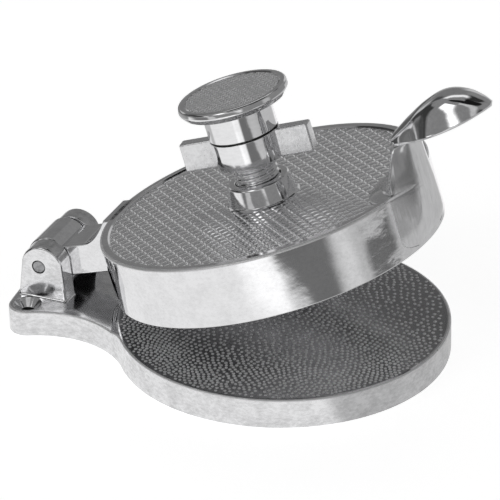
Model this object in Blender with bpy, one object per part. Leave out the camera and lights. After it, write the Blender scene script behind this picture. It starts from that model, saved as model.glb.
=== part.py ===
"""Hinged burger press with an adjustable press plate that also pushes the patty out. Metres, +Z up.

The origin is the centre of the round base, on the surface that the press stands on. +X runs from the
hinge to the lever, and the hinge axis lies along Y. The lid is modelled closed and is then swung open
about the hinge. Heights above the base are therefore those of the closed lid.
"""
import math

import bmesh
import bpy
from mathutils import Matrix, Vector

# Base plate
BASE_RADIUS = 0.0625
BASE_HEIGHT = 0.0116
BASE_EDGE = 0.0006
BASE_DECK = 0.0046
BASE_WALL = 0.0050
RIB_WIDTH = 0.0036
CENTRE_BOSS_RADIUS = 0.0090

# Lid casting: ring, cover and threaded boss
LID_OVERHANG = 0.0005
LID_HEIGHT = 0.0236
LID_GAP = 0.0002
LID_WALL = 0.0050
LID_EDGE = 0.0005
COVER_THICKNESS = 0.0036
RIM_WIDTH = 0.0032
RIM_STEP = 0.0007
BOSS_WALL = 0.0030
BOSS_TAPER = 0.0015
BOSS_RISE = 0.0070
BOSS_ROUND = 0.0012

# Hinge
HINGE_REACH = 0.0294
HINGE_HEIGHT = 0.02306
LID_ANGLE = math.radians(16.86)
PIN_RADIUS = 0.0025
PIN_CHAMFER = 0.0005
EAR_RADIUS = 0.0084
EAR_SHIFT = 0.0012
EAR_FOOT_SPREAD = 0.0015
EAR_THICKNESS = 0.0077
EAR_EDGE = 0.0009
EAR_FOOT_FILLET = 0.0009

# Hinge plate of the base, with its two screw lobes
NECK_STEP = 0.0014
NECK_FILLET = 0.0346
NECK_END_BULGE = 0.0015
LOBE_BEHIND_PIN = 0.0022
LOBE_Y = 0.0234
LOBE_RADIUS = 0.0071
SCREW_HOLE_RADIUS = 0.0026
COUNTERSINK_WIDTH = 0.0026
COUNTERSINK_DEPTH = 0.0030

# Hinge arm of the lid
KNUCKLE_RADIUS = 0.0082
ARM_WIDTH = 0.0190
ARM_TOP_RISE = 0.0040
ARM_ROOT = 0.0012
ARM_SWEEP_TURN = 0.0073
ARM_SWEEP_END = 0.0130
ARM_EDGE = 0.0006

# Handle lug, stem and spoon-shaped lever of the lid
LUG_HALF_WIDTH = 0.0219
LUG_PROUD = 0.0045
LUG_SINK = 0.0005
LUG_CORNER_HALF = 0.0104
LUG_CROWN = 0.0008
STEM_HEIGHT = 0.0190
STEM_ROOT_INSET = 0.0150
STEM_INSET = 0.0021
STEM_ROOT_HALF = 0.0222
STEM_TOP_HALF = 0.0064
SPOON_LENGTH = 0.0400
SPOON_RISE = 0.0324
SPOON_DROP = 0.0116
SPOON_WIDEST = 0.0181
SPOON_HALF_WIDTH = 0.0118
SPOON_WALL = 0.0026
SPOON_LIP = 0.0008
SPOON_ROOT_LIP = 0.0034
SPOON_ROOT_LAP = 0.0004

# Plunger rod and press plate
ROD_RADIUS = 0.0040
ROD_SOCKET = 0.0090
PLATE_THICKNESS = 0.0040
PLATE_EDGE = 0.0008
PLATE_SCREW_RADIUS = 0.0020
PLATE_SCREW_LENGTH = 0.0120
PLATE_SCREW_HEAD_WIDTH = 0.0022
PLATE_SCREW_SLOT = 0.0010

# Wing nut with its threaded sleeve
SLEEVE_WALL = 0.0041
HUB_SHOULDER = 0.0047
HUB_HEIGHT = 0.0107
HUB_EDGE = 0.0004
THREAD_SHOWN = 0.0075
WING_LENGTH = 0.0123
WING_THICKNESS = 0.0061
WING_EDGE = 0.0005
WING_ANGLE = math.radians(8.0)

# Thrust washer
WASHER_THICKNESS = 0.0004
WASHER_SEAT = 0.00015

# Knob
SHANK_HEIGHT = 0.0110
SHANK_WALL = 0.0030
KNOB_OVERHANG = 0.0079
KNOB_HEIGHT = 0.0047
KNOB_UNDER_INSET = 0.0017
KNOB_TOP_INSET = 0.0008
KNOB_BORDER = 0.0023
KNOB_RECESS = 0.0004
KNOB_CORE_WALL = 0.0025

# Travel of the plate down from rest and up from rest. The eject stroke takes the height below the sleeve.
ADJUST_DOWN = 0.0060
ADJUST_UP = 0.0025

# Fits
FIT = 0.0003
PLATE_FLOOR_GAP = 0.0004
PLATE_SIDE_GAP = 0.0006
COVER_GAP = 0.0004
OVERRUN = 0.0010

# Facets
ROUND_LARGE = 72
ROUND_SMALL = 40
ROUND_HOLE = 24
ARC_STEPS = 8
SPOON_STEPS = 14
SHARP_ANGLE = math.radians(32.0)
END_FACE_ANGLE = math.radians(5.0)

# Radii and places that follow
LID_RADIUS = BASE_RADIUS + LID_OVERHANG
HINGE_X = LID_RADIUS + HINGE_REACH
LOBE_X = HINGE_X + LOBE_BEHIND_PIN
STEM_ROOT_X = LID_RADIUS - STEM_ROOT_INSET
STEM_INNER_X = LID_RADIUS - STEM_INSET
EAR_INNER_Y = ARM_WIDTH / 2 + FIT
EAR_OUTER_Y = EAR_INNER_Y + EAR_THICKNESS
SLEEVE_BORE_RADIUS = ROD_RADIUS + FIT
THREAD_RADIUS = SLEEVE_BORE_RADIUS + SLEEVE_WALL
BOSS_BORE_RADIUS = THREAD_RADIUS + FIT
BOSS_TOP_RADIUS = BOSS_BORE_RADIUS + BOSS_WALL
BOSS_FOOT_RADIUS = BOSS_TOP_RADIUS + BOSS_TAPER
HUB_RADIUS = THREAD_RADIUS + HUB_SHOULDER
KNOB_RADIUS = HUB_RADIUS + KNOB_OVERHANG
PLATE_RADIUS = LID_RADIUS - LID_WALL - PLATE_SIDE_GAP

# Heights that follow, with the lid closed
NECK_HEIGHT = BASE_HEIGHT - NECK_STEP
LID_BOTTOM = BASE_HEIGHT + LID_GAP
LID_TOP = LID_BOTTOM + LID_HEIGHT
COVER_TOP = LID_TOP - RIM_STEP
COVER_UNDERSIDE = COVER_TOP - COVER_THICKNESS
BOSS_TOP = LID_TOP + BOSS_RISE
HUB_BOTTOM = BOSS_TOP + THREAD_SHOWN
HUB_TOP = HUB_BOTTOM + HUB_HEIGHT
WASHER_BOTTOM = HUB_TOP + WASHER_SEAT
SHANK_BOTTOM = WASHER_BOTTOM + WASHER_THICKNESS + WASHER_SEAT
KNOB_BOTTOM = SHANK_BOTTOM + SHANK_HEIGHT
KNOB_TOP = KNOB_BOTTOM + KNOB_HEIGHT
PLATE_BOTTOM = BASE_HEIGHT + PLATE_FLOOR_GAP + ADJUST_DOWN
PLATE_TOP = PLATE_BOTTOM + PLATE_THICKNESS
SLEEVE_END = COVER_UNDERSIDE - COVER_GAP - ADJUST_UP

# Shapes chosen by hand, as shares of the sizes that they follow
# Lug: height up the ring, how far the corner stands proud, half-width of the corner
LUG_shares = ((0.03, -0.06, 0.98), (0.09, 0.06, 1.02), (0.16, 0.36, 1.04), (0.25, 0.64, 1.01),
              (0.36, 0.82, 0.95), (0.56, 0.91, 0.86), (0.80, 0.99, 0.75), (0.935, 0.98, 0.71))
# Stem: height above the rim, inner face, its half-width, how far the corner stands proud, its half-width
STEM_shares = ((-0.060, 0.0, 1.0, 0.98, 0.705), (-0.020, 0.10, 0.985, 0.98, 0.70),
               (0.015, 0.27, 0.83, 0.97, 0.695), (0.045, 0.38, 0.66, 0.97, 0.69),
               (0.120, 0.53, 0.608, 0.97, 0.67), (0.220, 0.67, 0.582, 0.96, 0.645),
               (0.410, 0.76, 0.50, 0.95, 0.60), (0.630, 0.87, 0.31, 0.95, 0.58),
               (0.800, 0.95, 0.12, 0.95, 0.58))
SPOON_STATION_shares = (0.0, 0.17, 0.37, 0.57, 0.77, 0.93, 1.0)
SPOON_CREST_shares = (0.590, 0.750, 0.908, 1.0, 0.962, 0.850, 0.780)
SPOON_DROP_shares = (0.14, 0.62, 0.885, 1.0, 0.74, 0.28, 0.03)
FLANK_HOLLOW_share = 0.10
STEM_FACE_share = 0.90
CAP_shares = (1.0, 0.65, 0.25)
SPOON_ROOT_share = 0.20
CROWN_shares = (0.6, 0.2)
RIM_BAND_share = 1 / 3


def clear_scene():
    for item in list(bpy.data.objects):
        bpy.data.objects.remove(item, do_unlink=True)


def material(name, colour, metallic, roughness):
    """A plain Principled material."""
    made = bpy.data.materials.new(name)
    made.use_nodes = True
    shader = made.node_tree.nodes["Principled BSDF"]
    shader.inputs["Base Color"].default_value = (*colour, 1.0)
    shader.inputs["Metallic"].default_value = metallic
    shader.inputs["Roughness"].default_value = roughness
    return made


def add_object(name, bm, finish=None):
    """Turn a bmesh into an object with outward faces."""
    bmesh.ops.recalc_face_normals(bm, faces=bm.faces)
    mesh = bpy.data.meshes.new(name)
    bm.to_mesh(mesh)
    bm.free()
    made = bpy.data.objects.new(name, mesh)
    bpy.context.collection.objects.link(made)
    if finish is not None:
        mesh.materials.append(finish)
    return made


def arc(centre, radius, start, end, steps):
    """Points along an arc, both ends included."""
    angles = [start + (end - start) * i / steps for i in range(steps + 1)]
    return [(centre[0] + radius * math.cos(a), centre[1] + radius * math.sin(a)) for a in angles]


def curve(start, control, end, steps):
    """Points of a quadratic curve, both ends included."""
    points = []
    for i in range(steps + 1):
        t = i / steps
        weights = ((1 - t) ** 2, 2 * t * (1 - t), t ** 2)
        points.append(tuple(sum(w * p[k] for w, p in zip(weights, (start, control, end))) for k in (0, 1)))
    return points


def follow(stations, values, at):
    """A smooth value between stations, as a cubic through them."""
    i = max(k for k in range(len(stations) - 1) if stations[k] <= at or k == 0)

    def slope(k):
        low, high = max(k - 1, 0), min(k + 1, len(values) - 1)
        return (values[high] - values[low]) / (stations[high] - stations[low])

    span = stations[i + 1] - stations[i]
    t = (at - stations[i]) / span
    rise = values[i + 1] - values[i]
    blend = t * t * (3 - 2 * t)
    lead = t * (1 - t) ** 2 * slope(i) - t * t * (1 - t) * slope(i + 1)
    return values[i] + rise * blend + span * lead


def revolve(name, profile, steps, finish=None, closed=False):
    """Turn a profile of (radius, height) about Z. An open profile starts and ends on the axis."""
    bm = bmesh.new()
    points = [bm.verts.new((r, 0, z)) for r, z in profile]
    pairs = list(zip(points, points[1:]))
    if closed:
        pairs.append((points[-1], points[0]))
    edges = [bm.edges.new(pair) for pair in pairs]
    bmesh.ops.spin(bm, geom=points + edges, cent=(0, 0, 0), axis=(0, 0, 1), angle=math.tau,
                   steps=steps, use_merge=True)
    bmesh.ops.remove_doubles(bm, verts=bm.verts, dist=FIT / 1000)
    return add_object(name, bm, finish)


def prism(name, outline, low, high, lying=False, edge=0):
    """Extrude an outline: (x, y) up Z, or with lying set (x, z) along Y. Its end faces may be bevelled."""
    bm = bmesh.new()
    if lying:
        ring = [bm.verts.new((x, low, z)) for x, z in outline]
        way = Vector((0, high - low, 0))
    else:
        ring = [bm.verts.new((x, y, low)) for x, y in outline]
        way = Vector((0, 0, high - low))
    face = bm.faces.new(ring)
    grown = bmesh.ops.extrude_face_region(bm, geom=[face], use_keep_orig=True)
    top = [v for v in grown["geom"] if isinstance(v, bmesh.types.BMVert)]
    bmesh.ops.translate(bm, verts=top, vec=way)
    if edge:
        square = math.cos(END_FACE_ANGLE)
        ends = [f for f in bm.faces if abs(f.normal.normalized().dot(way.normalized())) > square]
        rims = list({e for f in ends for e in f.edges})
        bmesh.ops.bevel(bm, geom=rims, offset=edge, segments=1, profile=1, affect="EDGES")
    return add_object(name, bm)


def loft(name, rings):
    """Skin rings of equal point counts and cap both ends."""
    bm = bmesh.new()
    rows = [[bm.verts.new(point) for point in ring] for ring in rings]
    count = len(rows[0])
    for low, high in zip(rows, rows[1:]):
        for i in range(count):
            bm.faces.new((low[i], low[(i + 1) % count], high[(i + 1) % count], high[i]))
    bm.faces.new(rows[0])
    bm.faces.new(list(reversed(rows[-1])))
    return add_object(name, bm)


def combine(target, operation, tools):
    """Join or cut target with each tool by a Boolean, apply it and remove the tool."""
    for tool in tools:
        step = target.modifiers.new("combine", "BOOLEAN")
        step.operation = operation
        step.solver = "EXACT"
        step.object = tool
        bpy.context.view_layer.update()
        view = bpy.context.evaluated_depsgraph_get()
        mesh = bpy.data.meshes.new_from_object(target.evaluated_get(view))
        target.modifiers.clear()
        target.data = mesh
        bpy.data.objects.remove(tool, do_unlink=True)


def finish_round(item):
    """Smooth shading with the real edges kept sharp."""
    item.data.shade_smooth()
    item.data.set_sharp_from_angle(angle=SHARP_ANGLE)


def cylinder(name, radius, low, high, steps):
    return revolve(name, [(0, high), (radius, high), (radius, low), (0, low)], steps)


def lay_along_y(item, x, height):
    """Turn a piece made along Z so that it lies along Y at the hinge height."""
    for point in item.data.vertices:
        px, py, pz = point.co
        point.co = (px + x, pz, py + height)
    item.data.flip_normals()


def neck_outline():
    """Plan of the hinge plate, with its screw lobes and the concave sweeps into the round base."""
    reach = BASE_RADIUS + NECK_FILLET
    lobe_reach = LOBE_RADIUS + NECK_FILLET
    span = math.hypot(LOBE_X, LOBE_Y)
    along = (reach ** 2 - lobe_reach ** 2 + span ** 2) / (2 * span)
    aside = math.sqrt(reach ** 2 - along ** 2)
    ux, uy = -LOBE_X / span, LOBE_Y / span
    sweep = (ux * along - uy * -aside, uy * along + ux * -aside)
    disc_angle = math.atan2(-sweep[1], -sweep[0])
    lobe_angle = math.atan2(LOBE_Y - sweep[1], -LOBE_X - sweep[0])
    half = arc(sweep, NECK_FILLET, disc_angle, lobe_angle, ARC_STEPS)
    end_reach = (LOBE_Y ** 2 + NECK_END_BULGE ** 2) / (2 * NECK_END_BULGE)
    tangent = math.atan2(LOBE_Y, NECK_END_BULGE - end_reach)
    turn = math.atan2(sweep[1] - LOBE_Y, sweep[0] + LOBE_X)
    half += arc((-LOBE_X, LOBE_Y), LOBE_RADIUS, turn, tangent, ARC_STEPS)[1:]
    end_centre = (end_reach - NECK_END_BULGE - LOBE_X, 0)
    half += arc(end_centre, end_reach + LOBE_RADIUS, tangent, math.pi, ARC_STEPS // 2)[1:]
    mirrored = [(x, -y) for x, y in reversed(half[:-1])]
    return half + mirrored


def ear_outline():
    """Side view of a hinge ear: an arch on a foot that widens to the plate."""
    centre = (-HINGE_X + EAR_SHIFT, HINGE_HEIGHT)
    foot = NECK_HEIGHT - OVERRUN
    spread = EAR_RADIUS + EAR_FOOT_SPREAD
    arch = arc(centre, EAR_RADIUS, 0, math.pi, 2 * ARC_STEPS)
    return [(centre[0] + spread, foot)] + arch + [(centre[0] - spread, foot)]


def ear_foot(side):
    """Sloped fillet round the foot of an ear."""
    x = -HINGE_X + EAR_SHIFT
    rings = []
    for grow, height in ((EAR_FOOT_FILLET, -OVERRUN), (EAR_FOOT_FILLET, 0),
                         (EAR_FOOT_FILLET / 3, EAR_FOOT_FILLET / 3), (0, EAR_FOOT_FILLET)):
        half = EAR_RADIUS + EAR_FOOT_SPREAD + grow
        inside, outside = EAR_INNER_Y + EAR_THICKNESS / 3, EAR_OUTER_Y - EAR_EDGE / 2 + grow
        low, high = sorted((side * inside, side * outside))
        z = NECK_HEIGHT + height
        rings.append([(x - half, low, z), (x + half, low, z), (x + half, high, z), (x - half, high, z)])
    return loft("ear_foot", rings)


def pocket_outline(quadrant):
    """Hollow under one quarter of the base, between the rim, two ribs and the centre boss."""
    outer = BASE_RADIUS - BASE_WALL
    gap_out = math.asin(RIB_WIDTH / 2 / outer)
    gap_in = math.asin(RIB_WIDTH / 2 / CENTRE_BOSS_RADIUS)
    start = quadrant * math.pi / 2
    end = start + math.pi / 2
    points = arc((0, 0), outer, start + gap_out, end - gap_out, 2 * ARC_STEPS)
    points += arc((0, 0), CENTRE_BOSS_RADIUS, end - gap_in, start + gap_in, ARC_STEPS // 2)
    return points


def make_base(finish):
    """Round base and hinge plate in one casting, ribbed underneath, with two drilled ears."""
    disc = revolve("base_casting", [
        (0, BASE_HEIGHT), (BASE_RADIUS - BASE_EDGE, BASE_HEIGHT), (BASE_RADIUS, BASE_HEIGHT - BASE_EDGE),
        (BASE_RADIUS, BASE_EDGE), (BASE_RADIUS - BASE_EDGE, 0), (0, 0)], ROUND_LARGE, finish)
    neck = prism("neck", neck_outline(), 0, NECK_HEIGHT, edge=BASE_EDGE / 2)
    ears = []
    for side in (-1, 1):
        low, high = sorted((side * EAR_INNER_Y, side * EAR_OUTER_Y))
        ears += [prism("ear", ear_outline(), low, high, lying=True, edge=EAR_EDGE), ear_foot(side)]
    combine(disc, "UNION", [neck] + ears)
    pockets = [prism("pocket", pocket_outline(q), -OVERRUN, BASE_HEIGHT - BASE_DECK) for q in range(4)]
    holes = []
    mouth = SCREW_HOLE_RADIUS + COUNTERSINK_WIDTH * (1 + OVERRUN / COUNTERSINK_DEPTH)
    for side in (-1, 1):
        hole = revolve("screw_hole", [
            (0, NECK_HEIGHT + OVERRUN), (mouth, NECK_HEIGHT + OVERRUN),
            (SCREW_HOLE_RADIUS, NECK_HEIGHT - COUNTERSINK_DEPTH), (SCREW_HOLE_RADIUS, -OVERRUN),
            (0, -OVERRUN)], ROUND_HOLE)
        hole.data.transform(Matrix.Translation((-LOBE_X, side * LOBE_Y, 0)))
        holes.append(hole)
    bore = cylinder("pin_bore", PIN_RADIUS + FIT, -EAR_OUTER_Y - OVERRUN, EAR_OUTER_Y + OVERRUN, ROUND_HOLE)
    lay_along_y(bore, -HINGE_X, HINGE_HEIGHT)
    combine(disc, "DIFFERENCE", pockets + holes + [bore])
    return disc


def make_pin(finish):
    """Hinge pin, flush with the ears."""
    end = EAR_OUTER_Y
    pin = revolve("hinge_pin", [
        (0, end), (PIN_RADIUS - PIN_CHAMFER, end), (PIN_RADIUS, end - PIN_CHAMFER),
        (PIN_RADIUS, PIN_CHAMFER - end), (PIN_RADIUS - PIN_CHAMFER, -end), (0, -end)], ROUND_HOLE, finish)
    lay_along_y(pin, 0, 0)
    pin.location = (-HINGE_X, 0, HINGE_HEIGHT)
    return pin


def lid_shell(finish):
    """Ring, cover and boss as one turned profile, bored for the sleeve."""
    inner = LID_RADIUS - LID_WALL
    rim = LID_RADIUS - RIM_WIDTH
    round_points = arc((BOSS_TOP_RADIUS - BOSS_ROUND, BOSS_TOP - BOSS_ROUND), BOSS_ROUND, math.pi / 2, 0, 3)
    profile = [(BOSS_BORE_RADIUS, BOSS_TOP)] + round_points + [
        (BOSS_FOOT_RADIUS, COVER_TOP + BOSS_ROUND / 2), (BOSS_FOOT_RADIUS + BOSS_ROUND / 2, COVER_TOP),
        (rim - RIM_STEP, COVER_TOP), (rim, LID_TOP), (LID_RADIUS - LID_EDGE, LID_TOP),
        (LID_RADIUS, LID_TOP - LID_EDGE), (LID_RADIUS, LID_BOTTOM + LID_EDGE),
        (LID_RADIUS - LID_EDGE, LID_BOTTOM), (inner + LID_EDGE, LID_BOTTOM), (inner, LID_BOTTOM + LID_EDGE),
        (inner, COVER_UNDERSIDE), (BOSS_BORE_RADIUS, COVER_UNDERSIDE)]
    return revolve("lid_casting", profile, ROUND_LARGE, finish, closed=True)


def arm_outline():
    """Side view of the hinge arm, from the knuckle to the wall of the ring."""
    inside = -(LID_RADIUS - LID_WALL / 2)
    top = HINGE_HEIGHT + ARM_TOP_RISE
    low = HINGE_HEIGHT - KNUCKLE_RADIUS
    leave = math.asin(ARM_TOP_RISE / KNUCKLE_RADIUS)
    points = [(inside, low), (inside, LID_TOP)]
    root, turn, end = (-(LID_RADIUS + step) for step in (ARM_ROOT, ARM_SWEEP_TURN, ARM_SWEEP_END))
    points += curve((root, LID_TOP), (turn, top), (end, top), ARC_STEPS)
    points += arc((-HINGE_X, HINGE_HEIGHT), KNUCKLE_RADIUS, leave, 3 * math.pi / 2, 2 * ARC_STEPS)
    return points


def handle_side(seam, corner, hollow):
    """Half of a handle section: the flank from the seam to the outer corner, then the crowned face."""
    middle = ((seam[0] + corner[0]) / 2 - hollow, (seam[1] + corner[1]) / 2 - hollow)
    half = curve(seam, middle, corner, 4)
    return half + [(corner[0] + LUG_CROWN * (1 - s * s), corner[1] * s) for s in CROWN_shares]


def lug_ring(rise, proud, half):
    """Plan of the lug at one height. Its back lies inside the wall of the ring."""
    sunk = LID_RADIUS - LUG_SINK
    angle = math.asin(LUG_HALF_WIDTH / sunk)
    seam = (sunk * math.cos(angle), LUG_HALF_WIDTH)
    corner_half = LUG_CORNER_HALF * half
    wall_x = math.sqrt(LID_RADIUS ** 2 - corner_half ** 2)
    stand = LUG_PROUD * proud
    side = handle_side(seam, (wall_x + stand, corner_half), FLANK_HOLLOW_share * stand)
    back = arc((0, 0), LID_RADIUS - LID_WALL / 2, -angle, angle, ARC_STEPS)
    outline = side + [(x, -y) for x, y in reversed(side)] + back
    return [(x, y, LID_BOTTOM + LID_HEIGHT * rise) for x, y in outline]


def stem_ring(rise, inner, spread, proud, half):
    """Plan of the stem at one height. The uppermost section follows the underside of the spoon."""
    inner_x = STEM_ROOT_X + (STEM_INNER_X - STEM_ROOT_X) * inner
    inner_half = STEM_TOP_HALF + (STEM_ROOT_HALF - STEM_TOP_HALF) * spread
    wall_x = math.sqrt((LID_RADIUS - LUG_SINK) ** 2 - inner_half ** 2)
    seam_x = wall_x + (STEM_INNER_X - wall_x) * max(rise, 0) / STEM_shares[-1][0]
    corner_half = LUG_CORNER_HALF * half
    corner_x = math.sqrt(LID_RADIUS ** 2 - corner_half ** 2) + LUG_PROUD * proud
    side = handle_side((seam_x, inner_half), (corner_x, corner_half), FLANK_HOLLOW_share * LUG_PROUD * spread)
    places = [STEM_FACE_share * (2 * i / ARC_STEPS - 1) for i in range(ARC_STEPS + 1)]
    face = [(inner_x + (seam_x - inner_x) * t ** 4, inner_half * t) for t in places]
    outline = side + [(x, -y) for x, y in reversed(side)] + face
    return [(x, y, LID_TOP + STEM_HEIGHT * rise) for x, y in outline]


def spoon_section(share):
    """Place, crest height, edge drop and half-width of the spoon at a share of its length."""
    x = STEM_INNER_X - SPOON_ROOT_LAP + SPOON_LENGTH * share
    crest = LID_TOP + SPOON_RISE * follow(SPOON_STATION_shares, SPOON_CREST_shares, share)
    drop = SPOON_DROP * follow(SPOON_STATION_shares, SPOON_DROP_shares, share)
    along = SPOON_LENGTH * share
    lead = (along - SPOON_WIDEST) / (SPOON_LENGTH - SPOON_WIDEST)
    if lead > 0:
        return x, crest, drop, SPOON_HALF_WIDTH * math.sqrt(max(1 - lead ** 2, 0))
    root_half = STEM_TOP_HALF + SPOON_ROOT_LAP
    grow = (1 - math.cos(math.pi * along / SPOON_WIDEST)) / 2
    return x, crest, drop, root_half + (SPOON_HALF_WIDTH - root_half) * grow


def spoon_ring(share):
    """Section of the spoon across the lever: a domed outside and a hollow underside."""
    x, crest, drop, half = spoon_section(share)
    inner_half = max(half - SPOON_WALL / 2, half / 2)
    root = max(1 - share / SPOON_ROOT_share, 0) ** 2
    lip = SPOON_LIP + (SPOON_ROOT_LIP - SPOON_LIP) * root
    hollow = max(drop + lip - SPOON_WALL - SPOON_DROP * root, 0)
    places = [2 * i / ARC_STEPS - 1 for i in range(ARC_STEPS + 1)]
    outside = [(x, half * t, crest - drop * t * t) for t in places]
    inside = [(x, inner_half * t, crest - drop - lip + hollow * (1 - t * t)) for t in reversed(places)]
    return outside + inside


def stem_cap(ring, spread):
    """The top of the stem, drawn in to a share of its plan and kept halfway through the spoon's wall."""
    middle = sum(x for x, _, _ in ring) / len(ring)
    cap = []
    for x, y, _ in ring:
        x, y = middle + (x - middle) * spread, y * spread
        _, crest, drop, half = spoon_section((x - STEM_INNER_X + SPOON_ROOT_LAP) / SPOON_LENGTH)
        cap.append((x, y, crest - drop * (y / half) ** 2 - SPOON_WALL / 2))
    return cap


def make_handle():
    """Lug on the ring wall with the stem above it, and the spoon at the top."""
    rings = [lug_ring(*row) for row in LUG_shares] + [stem_ring(*row) for row in STEM_shares]
    caps = [stem_cap(rings[-1], spread) for spread in CAP_shares]
    stations = [(1 - math.cos(math.pi * i / SPOON_STEPS)) / 2 for i in range(SPOON_STEPS)]
    tip = (1 + 2 * stations[-1]) / 3
    return [loft("stem", rings + caps), loft("spoon", [spoon_ring(s) for s in stations + [tip]])]


def make_lid(finish):
    """The whole lid: ring, cover, boss, hinge arm and lever in one casting."""
    lid = lid_shell(finish)
    arm = prism("arm", arm_outline(), -ARM_WIDTH / 2, ARM_WIDTH / 2, lying=True, edge=ARM_EDGE)
    combine(lid, "UNION", [arm] + make_handle())
    bore = cylinder("knuckle_bore", PIN_RADIUS + FIT, -EAR_OUTER_Y, EAR_OUTER_Y, ROUND_HOLE)
    lay_along_y(bore, -HINGE_X, HINGE_HEIGHT)
    combine(lid, "DIFFERENCE", [bore])
    return lid


def make_wing_nut(finish):
    """Hub with two wings and the hollow threaded sleeve that screws into the lid."""
    nut = revolve("wing_nut", [
        (SLEEVE_BORE_RADIUS, HUB_TOP), (HUB_RADIUS - HUB_EDGE, HUB_TOP), (HUB_RADIUS, HUB_TOP - HUB_EDGE),
        (HUB_RADIUS, HUB_BOTTOM + HUB_EDGE), (HUB_RADIUS - HUB_EDGE, HUB_BOTTOM),
        (THREAD_RADIUS, HUB_BOTTOM), (THREAD_RADIUS, SLEEVE_END + HUB_EDGE),
        (THREAD_RADIUS - HUB_EDGE, SLEEVE_END), (SLEEVE_BORE_RADIUS, SLEEVE_END)],
        ROUND_SMALL, finish, closed=True)
    wings = []
    half = WING_THICKNESS / 2
    root = (SLEEVE_BORE_RADIUS + HUB_RADIUS) / 2
    for side in (-1, 1):
        ends = (side * root, side * (HUB_RADIUS + WING_LENGTH))
        outline = [(min(ends), -half), (max(ends), -half), (max(ends), half), (min(ends), half)]
        wing = prism("wing", outline, HUB_BOTTOM, HUB_TOP, edge=WING_EDGE)
        wings.append(wing)
    combine(nut, "UNION", wings)
    return nut


def make_washer(finish):
    """Thin washer that the knob rests on."""
    top = WASHER_BOTTOM + WASHER_THICKNESS
    edge = HUB_RADIUS - HUB_EDGE
    return revolve("thrust_washer", [
        (SLEEVE_BORE_RADIUS, top), (edge, top), (edge, WASHER_BOTTOM), (SLEEVE_BORE_RADIUS, WASHER_BOTTOM)],
        ROUND_SMALL, finish, closed=True)


def make_knob(finish):
    """Round knob on a hollow shank, with a core that takes the rod."""
    socket = ROD_RADIUS + FIT
    core = socket + KNOB_CORE_WALL
    hollow = HUB_RADIUS - SHANK_WALL
    rim_low = KNOB_BOTTOM + KNOB_HEIGHT * RIM_BAND_share
    rim_high = KNOB_TOP - KNOB_HEIGHT * RIM_BAND_share
    top = KNOB_RADIUS - KNOB_TOP_INSET
    face = top - KNOB_BORDER
    return revolve("knob", [
        (0, KNOB_TOP - KNOB_RECESS), (face - KNOB_RECESS, KNOB_TOP - KNOB_RECESS), (face, KNOB_TOP),
        (top - KNOB_RECESS, KNOB_TOP), (top, KNOB_TOP - KNOB_RECESS),
        (KNOB_RADIUS, rim_high), (KNOB_RADIUS, rim_low), (KNOB_RADIUS - KNOB_UNDER_INSET, KNOB_BOTTOM),
        (HUB_RADIUS + HUB_EDGE, KNOB_BOTTOM), (HUB_RADIUS, KNOB_BOTTOM - HUB_EDGE),
        (HUB_RADIUS, SHANK_BOTTOM + HUB_EDGE), (HUB_RADIUS - HUB_EDGE, SHANK_BOTTOM),
        (hollow, SHANK_BOTTOM), (hollow, KNOB_BOTTOM - SHANK_WALL / 2),
        (core, KNOB_BOTTOM - SHANK_WALL / 2), (core, SHANK_BOTTOM + HUB_EDGE),
        (socket, SHANK_BOTTOM + HUB_EDGE), (socket, SHANK_BOTTOM + ROD_SOCKET + FIT),
        (0, SHANK_BOTTOM + ROD_SOCKET + FIT)], ROUND_SMALL, finish)


def make_rod(finish):
    """Plunger rod, drilled at its lower end for the plate screw."""
    hole = PLATE_SCREW_RADIUS + FIT
    low = PLATE_TOP + FIT
    depth = PLATE_BOTTOM + PLATE_SCREW_LENGTH + FIT
    top = SHANK_BOTTOM + ROD_SOCKET
    return revolve("plunger_rod", [
        (0, top), (ROD_RADIUS - HUB_EDGE, top), (ROD_RADIUS, top - HUB_EDGE), (ROD_RADIUS, low),
        (hole, low), (hole, depth), (0, depth)], ROUND_HOLE, finish)


def make_plate(finish):
    """Round plate that presses the patty, countersunk for its screw."""
    hole = PLATE_SCREW_RADIUS + FIT
    seat = hole + PLATE_SCREW_HEAD_WIDTH
    return revolve("press_plate", [
        (hole, PLATE_TOP), (PLATE_RADIUS - PLATE_EDGE, PLATE_TOP), (PLATE_RADIUS, PLATE_TOP - PLATE_EDGE),
        (PLATE_RADIUS, PLATE_BOTTOM + PLATE_EDGE), (PLATE_RADIUS - PLATE_EDGE, PLATE_BOTTOM),
        (seat, PLATE_BOTTOM), (hole, PLATE_BOTTOM + PLATE_SCREW_HEAD_WIDTH)],
        ROUND_LARGE, finish, closed=True)


def make_screw(finish):
    """Countersunk slotted screw that holds the plate to the rod."""
    head_radius = PLATE_SCREW_RADIUS + PLATE_SCREW_HEAD_WIDTH
    head = PLATE_BOTTOM + PLATE_SCREW_HEAD_WIDTH
    screw = revolve("plate_screw", [
        (0, PLATE_BOTTOM + PLATE_SCREW_LENGTH), (PLATE_SCREW_RADIUS, PLATE_BOTTOM + PLATE_SCREW_LENGTH),
        (PLATE_SCREW_RADIUS, head), (head_radius, PLATE_BOTTOM), (0, PLATE_BOTTOM)],
        ROUND_HOLE, finish)
    wide = head_radius + OVERRUN
    half = PLATE_SCREW_SLOT / 2
    slot = prism("slot", [(-wide, -half), (wide, -half), (wide, half), (-wide, half)],
                 PLATE_BOTTOM - OVERRUN, PLATE_BOTTOM + PLATE_SCREW_SLOT)
    combine(screw, "DIFFERENCE", [slot])
    return screw


def guide(name, location, parent=None):
    """An empty on a joint's axis."""
    made = bpy.data.objects.new(name, None)
    bpy.context.collection.objects.link(made)
    made.location = location
    made.parent = parent
    return made


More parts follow.
